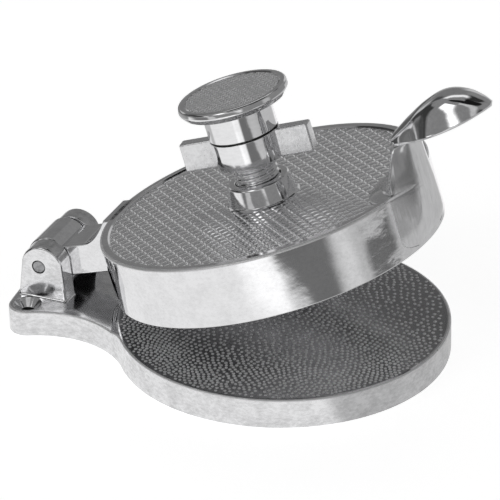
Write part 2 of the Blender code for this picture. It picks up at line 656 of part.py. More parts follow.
def main():
    clear_scene()
    cast = material("cast_aluminium", (0.80, 0.80, 0.81), 1.0, 0.18)
    lid_metal = material("polished_lid", (0.82, 0.82, 0.83), 1.0, 0.15)
    bright = material("bright_knob", (0.85, 0.85, 0.86), 1.0, 0.10)
    nut_metal = material("bright_nut", (0.84, 0.84, 0.85), 1.0, 0.12)
    plate_metal = material("plate_aluminium", (0.78, 0.78, 0.79), 1.0, 0.22)
    steel = material("pin_steel", (0.62, 0.62, 0.63), 1.0, 0.25)
    rod_steel = material("rod_steel", (0.66, 0.66, 0.67), 1.0, 0.20)
    screw_steel = material("screw_steel", (0.60, 0.60, 0.62), 1.0, 0.30)
    nylon = material("washer_nylon", (0.05, 0.05, 0.05), 0.0, 0.50)

    base = make_base(cast)
    pin = make_pin(steel)
    hinge = guide("lid_hinge", (-HINGE_X, 0, HINGE_HEIGHT))
    press_axis = guide("press_axis", (HINGE_X, 0, -HINGE_HEIGHT), hinge)
    lid = make_lid(lid_metal)
    lid.location = (HINGE_X, 0, -HINGE_HEIGHT)
    lid.parent = hinge
    nut = make_wing_nut(nut_metal)
    nut.rotation_euler = (0, 0, WING_ANGLE)
    on_axis = [nut, make_washer(nylon), make_knob(bright), make_rod(rod_steel), make_plate(plate_metal),
               make_screw(screw_steel)]
    for piece in on_axis:
        piece.parent = press_axis
    hinge.rotation_euler = (0, -LID_ANGLE, 0)
    for piece in [base, pin, lid] + on_axis:
        finish_round(piece)


main()
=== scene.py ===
"""Looks of the hinged burger press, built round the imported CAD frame.

Lengths are millimetres, and profiles hold (radius, height, rounding), unless said. The lid, the adjuster and
the plunger are modelled with the lid closed, as in the CAD. Their points are then swung open about the hinge,
so each object's own axes are the world's.
"""
import math

import bmesh
import bpy
import numpy as np
from mathutils import Matrix, Vector
from mathutils.geometry import delaunay_2d_cdt


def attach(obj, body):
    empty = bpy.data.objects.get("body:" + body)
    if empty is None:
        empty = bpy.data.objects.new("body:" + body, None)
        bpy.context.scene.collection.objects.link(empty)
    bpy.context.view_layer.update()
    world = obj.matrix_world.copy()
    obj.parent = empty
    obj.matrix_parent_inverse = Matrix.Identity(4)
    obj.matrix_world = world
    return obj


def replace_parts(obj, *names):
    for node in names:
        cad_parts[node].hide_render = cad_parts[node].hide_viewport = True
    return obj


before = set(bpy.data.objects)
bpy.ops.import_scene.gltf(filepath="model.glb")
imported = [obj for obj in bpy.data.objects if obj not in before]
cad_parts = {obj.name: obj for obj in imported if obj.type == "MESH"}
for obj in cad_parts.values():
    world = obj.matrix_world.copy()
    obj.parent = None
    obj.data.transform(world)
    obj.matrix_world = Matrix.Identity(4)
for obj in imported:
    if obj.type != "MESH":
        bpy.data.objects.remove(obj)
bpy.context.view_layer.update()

MM = 0.001
TAU = 2 * math.pi
QUARTER = math.pi / 2
STEPS = 240

# Hinge, and the pose of the lid in the photograph
HINGE_X = -92.4
HINGE_Z = 23.06
OPEN = math.radians(16.86)
HINGE = Vector((HINGE_X, 0, HINGE_Z)) * MM
LID = Matrix.Translation(HINGE) @ Matrix.Rotation(-OPEN, 4, "Y") @ Matrix.Translation(-HINGE)
FLAT = Matrix.Identity(4)

# Body, place and material slot of the pieces on the two castings
ON_BASE = ("base", FLAT, "base_casting")
ON_LID = ("lid", LID, "lid_casting")

# Sizes taken over from the CAD part: base and hinge plate
BASE_RADIUS = 62.5
BASE_TOP = 11.6
NECK_TOP = 10.2
DECK = 7.0
LOBE_X = 94.6
LOBE_Y = 23.4
LOBE_RADIUS = 7.1
SWEEP_RADIUS = 34.6
BULGE = 1.5
SCREWS = ((-LOBE_X, -LOBE_Y), (-LOBE_X, LOBE_Y))

# Hinge ears and pin
EAR_IN = 9.8
EAR_OUT = 17.5
EAR_RADIUS = 8.4
EAR_SHIFT = 1.2
EAR_SPREAD = 1.5
EAR_FILLET = 0.9
EAR_CORNER = 1.2
PIN_RADIUS = 2.5

# Lid
LID_RADIUS = 63.0
LID_LOW = 11.8
LID_TOP = 35.4
COVER = 34.7
UNDER = 31.1
INNER_RADIUS = 58.0
BOSS_TOP = 42.4

# Adjuster and plunger
HUB_RADIUS = 13.1
HUB_LOW = 49.9
HUB_TOP = 60.6
SLEEVE_LOW = 28.2
ROD_BORE = 4.3
SHANK_LOW = 61.3
KNOB_LOW = 72.3
KNOB_TOP = 77.0
PLATE_LOW = 18.0
PLATE_TOP = 22.0


# Outlines and meshes

def arc(cx, cy, r, a, b, n):
    """Points of an arc from angle a to b, both included."""
    t = np.linspace(a, b, n + 1)
    return np.stack([cx + r * np.cos(t), cy + r * np.sin(t)], -1)


def circle(cx, cy, r, n):
    """n points of a full circle."""
    return arc(cx, cy, r, 0, TAU, n)[:-1]


def soften(points, steps=4, closed=True):
    """Round each corner of an outline of (x, y, radius), with less than half of each side for a corner."""
    most = 0.48
    out = []
    n = len(points)
    for i, (x, y, r) in enumerate(points):
        p = np.array([x, y], float)
        if r <= 0 or (not closed and i in (0, n - 1)):
            out.append(p)
            continue
        a = np.array(points[i - 1][:2], float) - p
        b = np.array(points[(i + 1) % n][:2], float) - p
        la, lb = np.linalg.norm(a), np.linalg.norm(b)
        a, b = a / la, b / lb
        half = math.acos(np.clip(a @ b, -1, 1)) / 2
        cut = min(r / math.tan(half), la * most, lb * most)
        r = cut * math.tan(half)
        centre = p + (a + b) / np.linalg.norm(a + b) * (r / math.sin(half))
        start, end = p + a * cut - centre, p + b * cut - centre
        turn = math.atan2(start[0] * end[1] - start[1] * end[0], start @ end)
        for k in range(steps + 1):
            t = turn * k / steps
            out.append(centre + [start[0] * math.cos(t) - start[1] * math.sin(t),
                                 start[0] * math.sin(t) + start[1] * math.cos(t)])
    return np.array(out)


def dense(outline, gap):
    """Add points along the sides of a closed outline."""
    out = []
    for p, q in zip(outline, np.roll(outline, -1, 0)):
        n = max(int(math.ceil(np.linalg.norm(q - p) / gap)), 1)
        out += [p + (q - p) * k / n for k in range(n)]
    return np.array(out)


def inset(outline, d):
    """Move a counter-clockwise outline inwards by d."""
    before, after = outline - np.roll(outline, 1, 0), np.roll(outline, -1, 0) - outline
    before /= np.linalg.norm(before, axis=1)[:, None]
    after /= np.linalg.norm(after, axis=1)[:, None]
    na = np.stack([-before[:, 1], before[:, 0]], -1)
    nb = np.stack([-after[:, 1], after[:, 0]], -1)
    mid = na + nb
    return outline + mid * (d * 2 / (mid * mid).sum(1))[:, None]


def inside(points, outline):
    """Which points lie inside an outline."""
    x, y = points[:, 0], points[:, 1]
    hit = np.zeros(len(points), bool)
    for (ax, ay), (bx, by) in zip(outline, np.roll(outline, -1, 0)):
        if ay != by:
            cross = (ay > y) != (by > y)
            hit ^= cross & (x < (bx - ax) * (y - ay) / (by - ay) + ax)
    return hit


class Part:
    """Vertices in millimetres and faces of one piece, gathered from several forms."""

    def __init__(self):
        self.verts, self.faces, self.count = [], [], 0

    def add(self, verts, faces, flip=False):
        verts = np.asarray(verts, float).reshape(-1, 3)
        self.verts.append(verts)
        for f in faces:
            f = [int(i) + self.count for i in f]
            self.faces.append(f[::-1] if flip else f)
        self.count += len(verts)

    def grid(self, rows, closed=False, flip=False):
        """Skin rows of equal length. Closed joins the ends of each row."""
        rows = np.asarray(rows, float)
        m, n = rows.shape[:2]
        wrap = n if closed else n - 1
        faces = [(i * n + j, i * n + (j + 1) % n, (i + 1) * n + (j + 1) % n, (i + 1) * n + j)
                 for i in range(m - 1) for j in range(wrap)]
        self.add(rows, faces, flip)

    def revolve(self, profile, steps=STEPS, centre=(0, 0), flip=False):
        """Turn a profile of (radius, height) about Z."""
        t = np.linspace(0, TAU, steps, endpoint=False)
        rows = [np.stack([centre[0] + r * np.cos(t), centre[1] + r * np.sin(t), np.full(steps, z)], -1)
                for r, z in profile]
        self.grid(rows, closed=True, flip=flip)

    def sheet(self, loops, height, extra=(), flip=False):
        """Fill the first loop, less the loops inside it, at the height that a function of (x, y) gives."""
        nearest = 1e-5
        points, edges = [], []
        for loop in loops:
            start = len(points)
            points += [Vector(p) for p in loop]
            edges += [(start + k, start + (k + 1) % len(loop)) for k in range(len(loop))]
        points += [Vector(p) for p in extra]
        xy, _, tris = delaunay_2d_cdt(points, edges, [], 1, nearest)[:3]
        xy, tris = np.array([tuple(p) for p in xy]), np.array(tris)
        middle = xy[tris].mean(1)
        for loop in loops[1:]:
            out = ~inside(middle, loop)
            tris, middle = tris[out], middle[out]
        used, tris = np.unique(tris, return_inverse=True)
        xy, tris = xy[used], tris.reshape(-1, 3)
        z = height(xy[:, 0], xy[:, 1]) if callable(height) else np.full(len(xy), height)
        self.add(np.column_stack([xy, z]), tris, flip)

    def slab(self, outline, low, high, top=0.5, bottom=0.5, holes=(), steps=4):
        """Extrude an outline up Z with rounded rims, and with holes through it."""
        rows = []
        for edge, z, side in ((bottom, low, 1), (top, high, -1)):
            part = []
            for k in range(steps + 1):
                a = QUARTER * k / steps
                d, h = edge * (1 - math.sin(a)), edge * (1 - math.cos(a))
                part.append(np.column_stack([inset(outline, d), np.full(len(outline), z + side * h)]))
            rows += part if side > 0 else part[::-1]
        self.grid(rows, closed=True)
        for z, edge, flip in ((low, bottom, True), (high, top, False)):
            self.sheet([inset(outline, edge)] + list(holes), z, flip=flip)
        for hole in holes:
            ends = [np.column_stack([hole, np.full(len(hole), z)]) for z in (high, low)]
            self.grid(ends, closed=True)

    def lay(self):
        """Turn forms made in (x, z) and extruded up so that they lie along Y."""
        for v in self.verts:
            v[:] = v[:, [0, 2, 1]] * (1, -1, 1)

    def turn(self, angle):
        """Turn the part about Z."""
        c, s = math.cos(angle), math.sin(angle)
        for v in self.verts:
            v[:, :2] = v[:, :2] @ np.array([[c, s], [-s, c]])

    def join(self, other):
        """Take over the forms of another part."""
        self.add(np.concatenate(other.verts), other.faces)


def piece(name, part, finish, body, place, slot, sharp=40.0, weighted=True):
    """Make an object of a part, with its place in the mesh, smooth shading and the true edges kept."""
    weld, thin = 2e-6, 1e-6
    bm = bmesh.new()
    points = np.concatenate(part.verts) * MM @ np.array(place.to_3x3()).T + np.array(place.translation)
    verts = [bm.verts.new(v) for v in points]
    for f in part.faces:
        if len(set(f)) > 2:
            try:
                bm.faces.new([verts[i] for i in f])
            except ValueError:
                continue
    bmesh.ops.remove_doubles(bm, verts=bm.verts, dist=weld)
    bmesh.ops.dissolve_degenerate(bm, edges=bm.edges, dist=thin)
    bmesh.ops.recalc_face_normals(bm, faces=bm.faces)
    mesh = bpy.data.meshes.new(name)
    bm.to_mesh(mesh)
    bm.free()
    mesh.shade_smooth()
    mesh.set_sharp_from_angle(angle=math.radians(sharp))
    mesh.materials.append(finish)
    made = bpy.data.objects.new(name, mesh)
    bpy.context.scene.collection.objects.link(made)
    if weighted:
        step = made.modifiers.new("weighted", "WEIGHTED_NORMAL")
        step.keep_sharp = True
    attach(made, body)
    return made


# Materials

def tree(name):
    """A new material, its node tree and its shader."""
    made = bpy.data.materials.new(name)
    made.use_nodes = True
    return made, made.node_tree, made.node_tree.nodes["Principled BSDF"]


def node(nt, kind, inputs=None, **settings):
    """A new node, with sockets linked into its inputs and values set on them."""
    made = nt.nodes.new("ShaderNode" + kind)
    for key, value in settings.items():
        setattr(made, key, value)
    for key, value in (inputs or {}).items():
        if isinstance(value, bpy.types.NodeSocket):
            nt.links.new(value, made.inputs[key])
        else:
            made.inputs[key].default_value = value
    return made


def noise(nt, where, scale, detail, rough=0.5):
    """Noise of so many bumps a metre."""
    inputs = {"Vector": where, "Scale": scale, "Detail": detail, "Roughness": rough}
    return node(nt, "TexNoise", inputs).outputs["Fac"]


def mapped(nt, value, low, high, to_low, to_high, **settings):
    """A value carried over from one range to another."""
    inputs = {"Value": value, "From Min": low, "From Max": high, "To Min": to_low, "To Max": to_high}
    return node(nt, "MapRange", inputs, **settings).outputs["Result"]


def metal(name, grey, rough, wave=0.1, ripple=0.03, brush=0.006, along=(1, 1, 1), smear=0.10, grain=0.001,
          lean=OPEN, metallic=1.0, tint=0.01):
    """Polished metal: waves and ripples left by the wheel, brush marks along one way, fine grain and smears.

    The heights are in millimetres. The waves are about 12 mm long, the ripples 4 mm and the marks 1 mm.
    Along stretches ripples and marks, on axes that lean with the open lid. Tint is a touch of blue.
    """
    colour = (grey, grey, grey + tint)
    made, nt, shader = tree(name)
    where = node(nt, "TexCoord").outputs["Object"]
    turned = node(nt, "Mapping", {"Vector": where, "Rotation": (0, lean, 0)}).outputs["Vector"]
    laid = node(nt, "Mapping", {"Vector": turned, "Scale": along}).outputs["Vector"]
    slow = noise(nt, where, 83.0, 1.0)
    quick = noise(nt, laid, 250.0, 2.0)
    marks = noise(nt, laid, 900.0, 4.0, 0.65)
    fine = noise(nt, where, 2600.0, 3.0, 0.6)
    blot = noise(nt, where, 130.0, 6.0, 0.62)
    mixed = node(nt, "Math", {0: blot, 1: marks}, operation="ADD").outputs["Value"]
    tone = mapped(nt, mixed, 0.75, 1.15, 1.0 - smear * 2, 1.0)
    shade = node(nt, "Mix", {"Factor": tone, "A": (*(c * 0.4 for c in colour), 1.0), "B": (*colour, 1.0)},
                 data_type="RGBA")
    nt.links.new(shade.outputs["Result"], shader.inputs["Base Color"])
    nt.links.new(mapped(nt, mixed, 0.7, 1.3, rough * 1.4, rough * 0.7), shader.inputs["Roughness"])
    shader.inputs["Metallic"].default_value = metallic
    normal = None
    for height, size in ((slow, wave), (quick, ripple), (marks, brush), (fine, grain)):
        inputs = {"Height": height, "Strength": 1.0, "Distance": size * MM}
        if normal:
            inputs["Normal"] = normal
        normal = node(nt, "Bump", inputs).outputs["Normal"]
    nt.links.new(normal, shader.inputs["Normal"])
    return made


def nylon(name, grey, rough):
    """Dark plastic of uneven dullness."""
    made, nt, shader = tree(name)
    fine = noise(nt, node(nt, "TexCoord").outputs["Object"], 1500.0, 3.0)
    nt.links.new(mapped(nt, fine, 0.0, 1.0, rough * 0.8, rough * 1.2), shader.inputs["Roughness"])
    shader.inputs["Base Color"].default_value = (grey, grey, grey, 1.0)
    shader.inputs["Metallic"].default_value = 0.0
    return made


CAST = metal("cast_metal", 0.88, 0.13, along=(0.5, 0.5, 1), smear=0.22, lean=0.0)
# Darker copy of the cast metal for the round pad: painted shade under the lid
PAD_SHADE_METAL = metal("pad_metal_painted_shade", 0.36, 0.22, wave=0.05)
LID_METAL = metal("lid_metal", 0.90, 0.06, ripple=0.024, brush=0.005, along=(0.7, 0.7, 1))
HANDLE_METAL = metal("handle_metal", 0.88, 0.17, wave=0.08, brush=0.016, along=(1, 1, 0.1))
SPOON_METAL = metal("spoon_metal", 0.88, 0.07, wave=0.06, ripple=0.02, brush=0.004)
LID_TEX = metal("lid_texture_metal", 0.95, 0.12, wave=0.05, ripple=0.02, metallic=0.9)
KNOB_TEX = metal("knob_texture_metal", 0.94, 0.28, wave=0.0, ripple=0.01, metallic=0.8)
SATIN = metal("satin_metal", 0.88, 0.24, wave=0.03, ripple=0.01, brush=0.004, smear=0.06)
BRIGHT = metal("bright_metal", 0.91, 0.05, wave=0.03, ripple=0.012, brush=0.004, along=(0.25, 0.25, 1),
               smear=0.06)
STEEL = metal("pin_metal", 0.40, 0.22, wave=0.0, ripple=0.05, smear=0.4)
# Darker plate metal: painted shade inside the lid, where the plate sits
PLATE_SHADE_METAL = metal("plate_metal_painted_shade", 0.62, 0.16, wave=0.0, ripple=0.0)
# Darker metal inside the lid: painted shade under the cover
INSIDE_SHADE_METAL = metal("inside_metal_painted_shade", 0.50, 0.24, wave=0.05, ripple=0.02)
# Near-white, half-matt metal: painted highlights on the pebbles' tops and on the lug's seam bead
HIGHLIGHT_METAL = metal("painted_highlight_metal", 0.96, 0.40, wave=0.0, ripple=0.02, metallic=0.4)
# Lighter, duller metal on the rounded rims: part wear, part a painted highlight
WORN_HIGHLIT_METAL = metal("worn_edge_painted_highlight_metal", 0.97, 0.36, wave=0.0, ripple=0.06, brush=0.02, metallic=0.5)
# Near-black metal in the screw bores: painted shade in the holes
BORE_SHADE_METAL = metal("bore_painted_shade", 0.08, 0.5, wave=0.0, ripple=0.02, tint=0.0)
BLACK = nylon("washer_black", 0.03, 0.5)

# Base: the plain top blends up to the pad between the pad's edge and the foot of the blend
PAD_RADIUS = 61.2
PAD_EDGE = 61.6
BLEND_FOOT = 64.4
PAD_FLAT = PAD_RADIUS - 0.6
PAD_LEVEL = BASE_TOP - 0.1
TOP_EDGE = 0.7
LOW_EDGE = 0.4
SCREW_RADIUS = 2.6
SINK_RADIUS = 5.2
SINK_DEPTH = 3.0
SINK_LIP = 0.25
RIM_WALL = 5.0
CENTRE_RADIUS = 9.0
RIB_HALF = 1.8
PIN_HOLE = circle(HINGE_X, HINGE_Z, PIN_RADIUS + 0.25, 48)


def base_outline():
    """Plan of the whole base: the round plate and the hinge plate with its lobes, counter-clockwise."""
    reach = BASE_RADIUS + SWEEP_RADIUS
    lobe_reach = LOBE_RADIUS + SWEEP_RADIUS
    span = math.hypot(LOBE_X, LOBE_Y)
    along = (reach ** 2 - lobe_reach ** 2 + span ** 2) / (2 * span)
    aside = math.sqrt(reach ** 2 - along ** 2)
    ux, uy = -LOBE_X / span, LOBE_Y / span
    sx, sy = ux * along + uy * aside, uy * along - ux * aside
    start, end = math.atan2(-sy, -sx), math.atan2(LOBE_Y - sy, -LOBE_X - sx)
    big = (LOBE_Y ** 2 + BULGE ** 2) / (2 * BULGE)
    tangent = math.atan2(LOBE_Y, BULGE - big)
    sweep = arc(sx, sy, SWEEP_RADIUS, start, end, 60)
    lobe = arc(-LOBE_X, LOBE_Y, LOBE_RADIUS, math.atan2(sy - LOBE_Y, sx + LOBE_X), tangent, 40)
    back = arc(big - BULGE - LOBE_X, 0, big + LOBE_RADIUS, tangent, math.pi, 24)
    half = np.concatenate([sweep, lobe[1:], back[1:]])
    mirrored = (half * (1, -1))[::-1][1:]
    touch = math.atan2(half[0][1], half[0][0])
    disc = arc(0, 0, BASE_RADIUS, -touch, touch, 300)[1:-1]
    return np.concatenate([half, mirrored, disc])


def ear_distance(x, y):
    """Distance in plan from the feet of the hinge ears."""
    px = np.abs(x - HINGE_X - EAR_SHIFT) - (EAR_RADIUS + EAR_SPREAD) + EAR_CORNER
    py = np.abs(np.abs(y) - (EAR_IN + EAR_OUT) / 2) - (EAR_OUT - EAR_IN) / 2 + EAR_CORNER
    return np.hypot(np.maximum(px, 0), np.maximum(py, 0)) + np.minimum(np.maximum(px, py), 0) - EAR_CORNER


def base_height(x, y):
    """Height of the base's plain top: hinge plate, blend up to the round pad and fillets at the ears."""
    t = np.clip((BLEND_FOOT - np.hypot(x, y)) / (BLEND_FOOT - PAD_EDGE), 0, 1)
    z = NECK_TOP + (BASE_TOP - NECK_TOP) * t * t * (3 - 2 * t)
    d = np.clip(ear_distance(x, y), 0, EAR_FILLET)
    return z + EAR_FILLET - np.sqrt(EAR_FILLET ** 2 - (EAR_FILLET - d) ** 2)


def base_sides(outline):
    """Rows of points up the side of the base: those of its lower rounding, and those of its upper one."""
    low_steps, top_steps = 4, 5
    low, high = [], []
    for k in range(low_steps + 1):
        a = QUARTER * k / low_steps
        ring = inset(outline, LOW_EDGE * (1 - math.sin(a)))
        low.append(np.column_stack([ring, np.full(len(ring), LOW_EDGE * (1 - math.cos(a)))]))
    rim = inset(outline, TOP_EDGE)
    rim_z = base_height(rim[:, 0], rim[:, 1])
    for k in range(top_steps + 1):
        a = QUARTER * k / top_steps
        ring = inset(outline, TOP_EDGE * (1 - math.cos(a)))
        high.append(np.column_stack([ring, rim_z - TOP_EDGE * (1 - math.sin(a))]))
    return low, high


def top_points(outline):
    """Points on the plain top, close together where it blends up to the pad and round the ears' feet."""
    gap, beyond, foot_gap = 0.25, 0.3, 0.6
    edge_clear, pad_clear, hole_clear, foot_deep = 0.12, 0.1, 0.5, 0.5
    points = [circle(0, 0, r, 420) for r in np.arange(PAD_RADIUS + gap, BLEND_FOOT + beyond, gap)]
    for side in (-1, 1):
        corners = [(HINGE_X + EAR_SHIFT + end * (EAR_RADIUS + EAR_SPREAD), side * y, EAR_CORNER)
                   for end, y in ((-1, EAR_IN), (1, EAR_IN), (1, EAR_OUT), (-1, EAR_OUT))]
        foot = dense(soften(corners if side > 0 else corners[::-1], 6), foot_gap)
        points += [inset(foot, -out) for out in (0.02, 0.15, 0.3, 0.45, 0.6, 0.75, EAR_FILLET)]
    points = np.concatenate(points)
    x, y = points[:, 0], points[:, 1]
    keep = inside(points, inset(outline, TOP_EDGE + edge_clear)) & (np.hypot(x, y) > PAD_RADIUS + pad_clear)
    for cx, cy in SCREWS:
        keep &= np.hypot(x - cx, y - cy) > SINK_RADIUS + hole_clear
    keep &= ear_distance(x, y) > -foot_deep
    return points[keep]


def pocket(quadrant):
    """Hollow under one quarter of the base."""
    outer, inner = BASE_RADIUS - RIM_WALL, CENTRE_RADIUS
    gap_out, gap_in = math.asin(RIB_HALF / outer), math.asin(RIB_HALF / inner)
    start, end = quadrant * QUARTER, quadrant * QUARTER + QUARTER
    out = arc(0, 0, outer, start + gap_out, end - gap_out, 60)
    back = arc(0, 0, inner, end - gap_in, start + gap_in, 16)
    return np.concatenate([out, back])


def ear_outline():
    """Side view of a hinge ear in (x, z), counter-clockwise."""
    middle, foot, low = HINGE_X + EAR_SHIFT, EAR_RADIUS + EAR_SPREAD, NECK_TOP - 0.5
    arch = arc(middle, HINGE_Z, EAR_RADIUS, 0, math.pi, 48)
    return np.concatenate([[(middle + foot, low)], arch, [(middle - foot, low)]])


def hinge_ears():
    """Both ears, each more rounded on its outer side than on its inner one."""
    inner, outer = 0.4, 0.9
    ears = Part()
    for side in (-1, 1):
        low, high = sorted((-side * EAR_IN, -side * EAR_OUT))
        bottom, top = (inner, outer) if side < 0 else (outer, inner)
        ears.slab(ear_outline(), low, high, top=top, bottom=bottom, holes=[PIN_HOLE])
    ears.lay()
    return ears


def base_casting():
    """Body of the base with its pockets, screw holes and hinge ears, and its upper edge, worn and with a
    painted highlight.
    """
    outline = base_outline()
    low, high = base_sides(outline)
    brim = Part()
    brim.grid(high, closed=True)
    piece("base_edge", brim, WORN_HIGHLIT_METAL, *ON_BASE)

    body, bores = Part(), Part()
    body.grid(low + high[:1], closed=True)
    mouths = [circle(x, y, SINK_RADIUS + SINK_LIP, 64) for x, y in SCREWS]
    holes = [circle(x, y, SCREW_RADIUS, 64) for x, y in SCREWS]
    pockets = [pocket(quadrant) for quadrant in range(4)]
    round_hole = circle(0, 0, PAD_RADIUS, 360)
    body.sheet([inset(outline, TOP_EDGE), round_hole] + mouths, base_height, top_points(outline))
    body.sheet([low[0][:, :2]] + holes + pockets, 0.0, flip=True)
    for hollow in pockets:
        body.grid([np.column_stack([hollow, np.full(len(hollow), z)]) for z in (0, DECK)], closed=True)
        body.sheet([hollow], DECK, flip=True)
    sink_low = NECK_TOP - SINK_DEPTH
    for x, y in SCREWS:
        sink = [(SINK_RADIUS + SINK_LIP, NECK_TOP), (SINK_RADIUS - 0.05, NECK_TOP - 0.15),
                (SCREW_RADIUS, sink_low)]
        body.revolve(sink, 64, (x, y), flip=True)
        bores.revolve([(SCREW_RADIUS, sink_low), (SCREW_RADIUS, 0)], 64, (x, y), flip=True)
    body.join(hinge_ears())
    base = piece("base_body", body, CAST, *ON_BASE)
    # The bores are near black: painted shade
    piece("base_bores", bores, BORE_SHADE_METAL, *ON_BASE)
    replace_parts(base, "base_casting")


base_casting()


def pebble_places(rng):
    """Places of the pebbles: rows about 2 mm apart that bend gently. Those too near are pushed apart."""
    pitch, row_share, spare_rows = 2.2, 0.866, 6
    bend, waves, shortest, longer = 2.2, 5, 45, 15
    uneven, least, push_share, rounds = 0.17 * pitch, 1.95, 0.35, 8
    beyond, far = 3, 99
    n = int(PAD_RADIUS / pitch) + spare_rows
    j, i = np.meshgrid(np.arange(-n, n + 1), np.arange(-n, n + 1), indexing="ij")
    x, y = ((i + 0.5 * (j % 2)) * pitch).ravel(), (j * pitch * row_share).ravel()
    dx, dy = np.zeros_like(x), np.zeros_like(y)
    for k, (fx, fy, p, q) in enumerate(rng.uniform(-1, 1, (waves, 4))):
        size = shortest + longer * k
        dx += bend * np.sin((fx * x + fy * y) / size * TAU + p * 3)
        dy += bend * np.sin((fy * x - fx * y) / size * TAU + q * 3)
    centres = np.stack([x + dx, y + dy], -1) + rng.normal(0, uneven, (len(x), 2))
    centres = centres[np.hypot(centres[:, 0], centres[:, 1]) < PAD_RADIUS + beyond]
    for _ in range(rounds):
        gap = centres[:, None] - centres[None]
        d = np.hypot(gap[..., 0], gap[..., 1]) + np.eye(len(centres)) * far
        push = np.clip(least - d, 0, None)[..., None] * gap / d[..., None] * push_share
        centres = centres + push.sum(1)
    return centres[np.hypot(centres[:, 0], centres[:, 1]) < PAD_FLAT]


def base_pebbles():
    """Low separate domes on the round pad, lower where the ring lands, so that it closes above them."""
    rng = np.random.default_rng(7)
    count = 8
    sides = np.linspace(0, TAU, count, endpoint=False)
    under_ring = LID_LOW - 0.05 - PAD_LEVEL
    dome = Part()
    for cx, cy in pebble_places(rng):
        wide, tall, turn = rng.uniform(0.58, 0.76), rng.uniform(0.30, 0.44), rng.uniform(0, 1)
        if math.hypot(cx, cy) > INNER_RADIUS - 1:
            tall = min(tall, under_ring)
        around = np.stack([np.cos(sides + turn), np.sin(sides + turn)], -1)
        shares = ((1.0, -0.03), (0.9, tall * 0.42), (0.62, tall * 0.80), (0.3, tall * 0.97))
        rings = [np.column_stack([(cx, cy) + wide * share * around, np.full(count, PAD_LEVEL + rise)])
                 for share, rise in shares]
        dome.grid(rings, closed=True)
        dome.add(rings[0], [range(count)], flip=True)
        tip = np.vstack([rings[-1], [[cx, cy, PAD_LEVEL + tall]]])
        dome.add(tip, [(k, (k + 1) % count, count) for k in range(count)])
    # The domes' near-white metal paints their highlights
    piece("base_pebbles", dome, HIGHLIGHT_METAL, *ON_BASE, sharp=80, weighted=False)


def base_pad():
    """The sunk ground between the pebbles, in a darker copy of the base's metal: painted shade under the lid.
    """
    profile = [(radius, PAD_LEVEL) for radius in (0, 20, 40, PAD_FLAT)]
    profile += [(PAD_RADIUS - 0.2, PAD_LEVEL + 0.08), (PAD_RADIUS + 0.1, BASE_TOP)]
    pad = Part()
    pad.revolve(profile, 300)
    piece("base_pad", pad, PAD_SHADE_METAL, *ON_BASE, sharp=60, weighted=False)


def hinge_pin():
    """The pin, flush with both ears and rounded at its ends."""
    rounding = 0.4
    profile = [(0, EAR_OUT, 0), (PIN_RADIUS, EAR_OUT, rounding), (PIN_RADIUS, -EAR_OUT, rounding),
               (0, -EAR_OUT, 0)]
    pin = Part()
    pin.revolve(soften(profile, closed=False), 64)
    for v in pin.verts:
        v[:] = v[:, [0, 2, 1]] + (HINGE_X, 0, HINGE_Z)
    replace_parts(piece("pin_dress", pin, STEEL, "base", FLAT, "hinge_pin"), "hinge_pin")


base_pebbles()
base_pad()
hinge_pin()


# Waffle patterns of the lid's cover and of the knob

def waffle(pitch, shares, lines_out, lip_share, lip_high, sag):
    """Places and heights of square pillows on a grid at 45 degrees, with lines at shares of each cell."""
    lines = np.concatenate([(i + shares) * pitch for i in range(-lines_out, lines_out + 1)])
    phase = np.tile(shares, 2 * lines_out + 1)
    U, V = np.meshgrid(lines, lines)
    FU, FV = np.meshgrid(phase, phase)
    du, dv = np.minimum(FU, 1 - FU), np.minimum(FV, 1 - FV)
    lip = (1 - (1 - np.clip(du / lip_share, 0, 1)) ** 2) * (1 - (1 - np.clip(dv / lip_share, 0, 1)) ** 2)
    c = math.cos(math.pi / 4)
    return c * (U - V), c * (U + V), lip_high * lip - sag * (1 - 4 * du * dv)


def textured(pattern, low_r, high_r, z, name, finish, body, slot):
    """A sheet with a height pattern between two circles. Its outermost points are drawn onto them, at z."""
    X, Y, H = pattern
    R = np.hypot(X, Y)
    keep = (R <= high_r) & (R >= low_r)
    near = np.zeros_like(keep)
    for down in (-1, 0, 1):
        for across in (-1, 0, 1):
            near |= np.roll(np.roll(keep, down, 0), across, 1)
    least = 1e-9
    scale = np.ones_like(R)
    scale = np.where(near & (R > high_r), high_r / np.maximum(R, least), scale)
    scale = np.where(near & (R < low_r), low_r / np.maximum(R, least), scale)
    points = np.stack([X * scale, Y * scale, z + H * (scale == 1)], -1)
    j, i = np.nonzero(keep[:-1, :-1] | keep[1:, :-1] | keep[:-1, 1:] | keep[1:, 1:])
    used = np.zeros(R.shape, bool)
    for down in (0, 1):
        for across in (0, 1):
            used[j + down, i + across] = True
    index = -np.ones(R.shape, int)
    index[used] = np.arange(used.sum())
    part = Part()
    part.add(points[used], np.stack([index[j, i], index[j, i + 1], index[j + 1, i + 1], index[j + 1, i]], -1))
    piece(name, part, finish, body, LID, slot, sharp=75, weighted=False)


# Lid: ring, cover, boss and hinge arm
RIM_RADIUS = 59.8
TEX_RADIUS = 59.2
RIM_ROUND = 1.0
LEDGE = 0.8
BOSS_BORE = 8.7
BOSS_RADIUS = 11.7
BOSS_FOOT = 13.8
KNUCKLE_RADIUS = 8.2
KNUCKLE_HALF = 9.5
ARM_OVER_PIN = 4.0
ARM_START = -60.0


def arm_outline():
    """Side view of the hinge arm in (x, z), counter-clockwise: down from the ring and round the knuckle."""
    t = np.linspace(0, 1, 24)[:, None]
    arm_top = HINGE_Z + ARM_OVER_PIN
    root, bend, level = (np.array(p) for p in ((-64.2, LID_TOP), (-70.3, arm_top), (-76.0, arm_top)))
    top = root * (1 - t) ** 2 + bend * 2 * t * (1 - t) + level * t ** 2
    knuckle = arc(HINGE_X, HINGE_Z, KNUCKLE_RADIUS, math.asin(ARM_OVER_PIN / KNUCKLE_RADIUS), 3 * QUARTER, 60)
    inner = [(ARM_START, HINGE_Z - KNUCKLE_RADIUS), (ARM_START, LID_TOP)]
    return np.concatenate([inner, top, knuckle])


